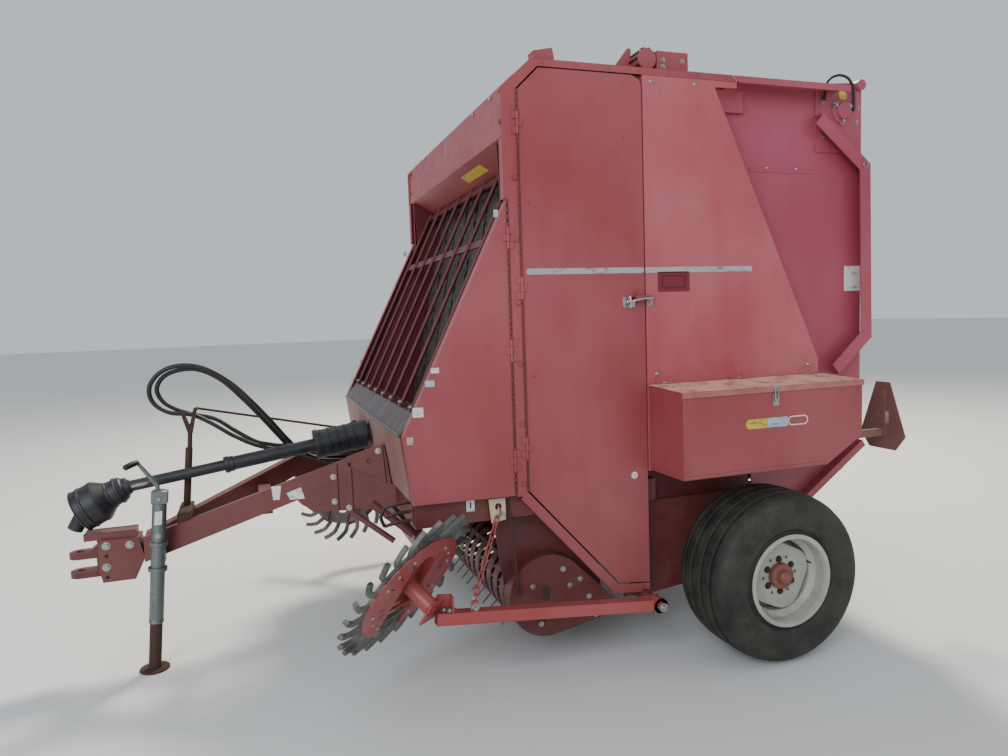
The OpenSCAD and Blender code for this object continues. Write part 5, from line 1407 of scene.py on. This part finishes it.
@dataclass
class Pickup:
    """Cover bolts and windows of the pickup, and its wind guard."""

    cover_y: float = 890.0
    cover_bolts: tuple = ((-1075, 391), (-928, 451), (-846, 393), (-896, 372), (-804, 307), (-771, 216),
                          (-1040, 215), (-1120, 300))

    def build(self, bolts: Fasteners) -> None:
        """Builds cover bolts, windows and the guard in front of the tines."""
        y = self.cover_y
        for side, name in SIDES.items():
            bolts.put("chassis", TO_RIGHT, 9, [(x, y, z) for x, z in self.cover_bolts], side)
            form = Form(side)
            for x, z in ((-1014, 354), (-1037, 235)):
                form.sheet(pill(x - 20, z - 34, x + 20, z + 34, 16), [], 1, (0, y + 0.4, 0))
            form.piece("pickup_windows_" + name, "chassis", Coat.RUSTY)
            guard = Form(side)
            for z, y0 in ((806, 800), (762, 790), (720, 780)):
                guard.bend([(-1700, y0, z - 6), (-1640, y0 + 4, z + 6), (-1560, y0 + 6, z + 10)], 3, 8, 10)
            guard.bend([(-1700, 800, 800), (-1716, 792, 760), (-1700, 780, 714)], 4, 8, 10)
            guard.piece("wind_guard_" + name, "chassis", Coat.BLACK, angle=60)


@dataclass
class Tailgate:
    """Seams, bearings, pins, grease lines and blank labels on the tailgate's walls."""

    bearing_at: tuple = (676.0, 2555.0)
    bearing_bolt_r: float = 50.0
    pin_at: tuple = (777.0, 2287.0)
    pin_ring_r: float = 14.0

    def build(self, bolts: Fasteners) -> None:
        """Builds the tailgate's fittings."""
        y, (bx, bz), (px, pz) = WALL_Y, self.bearing_at, self.pin_at
        for side, name in SIDES.items():
            form = Form(side)
            form.block((126, y - 1, 2243), (508, y + 3, 2262)).block((540, y + 5, 2344), (546, y + 9, 2625))
            bearing = [(0, 62), (8, 60), (12, 44), (26, 40), (30, 30), (30, 0)]
            form.lathe((bx, y + 4, bz), TO_RIGHT, bearing, 36)
            form.tube([(780, y - 4, 2686), (780, y + 34, 2686)], 26, 24)
            form.piece("gate_bearings_" + name, "tailgate", Coat.GATE, bevel=1.5)
            nuts = [(bx + self.bearing_bolt_r * math.cos(a), y + 12, bz + self.bearing_bolt_r * math.sin(a))
                    for a in (math.radians(turn) for turn in (30, 150, 270))]
            bolts.put("tailgate", TO_RIGHT, 11, nuts, side, Head.NUT)
            bolts.put("tailgate", TO_RIGHT, 8, [(403, y, 2265), (230, y, 2265)], side, Head.ROUND)
            plate = [(x, y + 6, z) for x, z in ((781, 2580), (769, 2508), (568, 2427), (560, 2600))]
            bolts.put("tailgate", TO_RIGHT, 9, plate, side)
            Form(side).lathe((680, y + 6, 2633), TO_RIGHT, [(0, 24), (3, 24), (4, 20)], 24).piece(
                "gate_disc_" + name, "tailgate", Coat.YELLOW_FILM)
            turns = [2 * math.pi * k / 16 for k in range(17)]
            pin = [(px + self.pin_ring_r * math.cos(a), y + 64, pz + self.pin_ring_r * math.sin(a))
                   for a in turns]
            Form(side).tube(pin, 2.4, 8).piece("gate_ring_pin_" + name, "tailgate", Coat.ZINC, angle=60)
            film("gate_blank_label_" + name, "tailgate", Coat.WHITE_FILM, side, y + FILM_OFF,
                 pill(703, 1660, 808, 1787, 4))
            loop = [(560, y + 16, 2600), (574, y + 26, 2690), (640, y + 30, 2722), (710, y + 24, 2706),
                    (742, y + 18, 2640), (744, y + 14, 2560)]
            Form(side).bend(loop, 5, 6.5, 12).piece(
                "gate_grease_line_" + name, "tailgate", Coat.HOSE, angle=60)
        Form(LEFT).sheet(pill(-36, -60, 36, 6, 3), [], 0.9, (999.6, 800, 1010), (0, 1, 0)).piece(
            "sign_blank_patch", "tailgate", Coat.BEIGE_FILM)
        bolts.put("tailgate", TO_FRONT, 7, [(1000.5, -806, 1105), (1000.5, -782, 900)])


@dataclass
class Roof:
    """Bolts, the roller's lagging and the row of chain rollers along the roof's front edge."""

    roller_at: tuple = (-450.0, ROOF_Z + 62.0)
    lag_strips: int = 10

    def build(self, bolts: Fasteners, rollers: Tree) -> None:
        """Builds the roof's fittings."""
        line = line_mesh("roof_chain", [at(x, -700, ROOF_Z + 6) for x in (-930, -640)])
        grown("roof_chain_rollers", line, rollers, {"Pitch": 0.019, "Radius": 0.011}, "chassis", Coat.RUSTY)
        top = ROOF_Z + 16.5
        bolts.put("chassis", UP, 10, [(-620, -865, top), (-160, -865, top), (-620, -800, top)])
        bolts.put("chassis", TO_LEFT, 9, [(-370, -881, 2710), (-270, -881, 2710), (-370, -881, 2680)])
        form, (x, z) = Form(), self.roller_at
        for k in range(self.lag_strips):
            a = 2 * math.pi * k / self.lag_strips
            edge = [(x + r * math.cos(a + d), z + r * math.sin(a + d))
                    for r, d in ((44, -0.12), (44, 0.12), (52, 0.1), (52, -0.1))]
            form.prism(edge, -876, -774)
        form.piece("roof_roller_lagging", "chassis", Coat.HOSE, bevel=1)


@dataclass
class Stage:
    """Camera, lights and floor."""

    lens_mm: float = 26.41
    sensor_mm: float = 36.0
    eye: Point = (-2194.0, -3877.0, 1591.0)
    right: Point = (0.94518, -0.32478, -0.03392)
    down: Point = (-0.05913, -0.06805, -0.99593)
    forward: Point = (0.32115, 0.94334, -0.08353)

    def camera(self) -> None:
        """Makes the camera at the photograph's viewpoint."""
        data = bpy.data.cameras.new("camera")
        data.lens, data.sensor_width = self.lens_mm, self.sensor_mm
        data.clip_end = 200.0
        made = bpy.data.objects.new("camera", data)
        bpy.context.scene.collection.objects.link(made)
        turn = Matrix((self.right, [-c for c in self.down], [-c for c in self.forward])).transposed()
        made.matrix_world = Matrix.Translation(at(*self.eye)) @ turn.to_4x4()
        bpy.context.scene.camera = made

    def light(self, name: str, place: Point, aim: Point, size: float, power: float, tint: str) -> None:
        """Adds a soft area light that looks at a point, in metres."""
        data = bpy.data.lights.new(name, "AREA")
        data.shape, data.size, data.energy = "DISK", size, power
        data.color = linear(tint)[:3]
        made = bpy.data.objects.new(name, data)
        made.location = place
        made.rotation_euler = (Vector(aim) - Vector(place)).to_track_quat("-Z", "Y").to_euler()
        bpy.context.scene.collection.objects.link(made)

    def build(self) -> None:
        """Makes floor, lights and surrounding light."""
        mesh, half = bpy.data.meshes.new("floor"), 60.0
        corners = [(-half, -half, 0), (half, -half, 0), (half, half, 0), (-half, half, 0)]
        mesh.from_pydata(corners, [], [(0, 1, 2, 3)])
        floor = bpy.data.objects.new("floor", mesh)
        mesh.materials.append(StageFloor("studio_floor").material())
        bpy.context.scene.collection.objects.link(floor)
        world = bpy.data.worlds.new("studio")
        bpy.context.scene.world = world
        world.use_nodes = True
        sky = world.node_tree.nodes["Background"]
        sky.inputs["Color"].default_value = linear("#dfe6ee")
        sky.inputs["Strength"].default_value = 0.85
        self.light("key_from_behind", (3.5, 5.5, 8.5), (0.2, 0, 1.2), 2.2, 1500, "#fff3e0")
        self.light("fill_from_front", (-5.0, -6.5, 4.5), (-0.2, 0, 1.1), 5.0, 420, "#eef3ff")


def dress_nodes(frame: dict) -> None:
    """Gives every CAD node its finish.
    """
    slots = {p["node"]: p["material_slot"] for p in frame["record"]["subparts"]}
    for name, node in frame["nodes"].items():
        coat = NODE_COATS.get(name, SLOT_COATS[slots[name]])
        node.data.materials.clear()
        node.data.materials.append(coat.material())


def main() -> None:
    """Builds the dressed baler in order."""
    logging.basicConfig(level=logging.INFO, format="%(name)s: %(message)s")
    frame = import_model()
    stage = Stage()
    stage.camera()
    Hoses().build()
    dress_nodes(frame)
    bolts = Fasteners()
    for assembly in (Wheels(), RakeWheels(), Shields(), TwineBox(), FrontOpening(), Tongue(), Jack(),
                     Driveline(), Pickup(), Tailgate()):
        assembly.build(bolts)
        LOG.info("%s built", type(assembly).__name__)
    Roof().build(bolts, bpy.data.node_groups["knuckles_on_path"])
    bolts.build()
    stage.build()


if __name__ == "__main__":
    main()
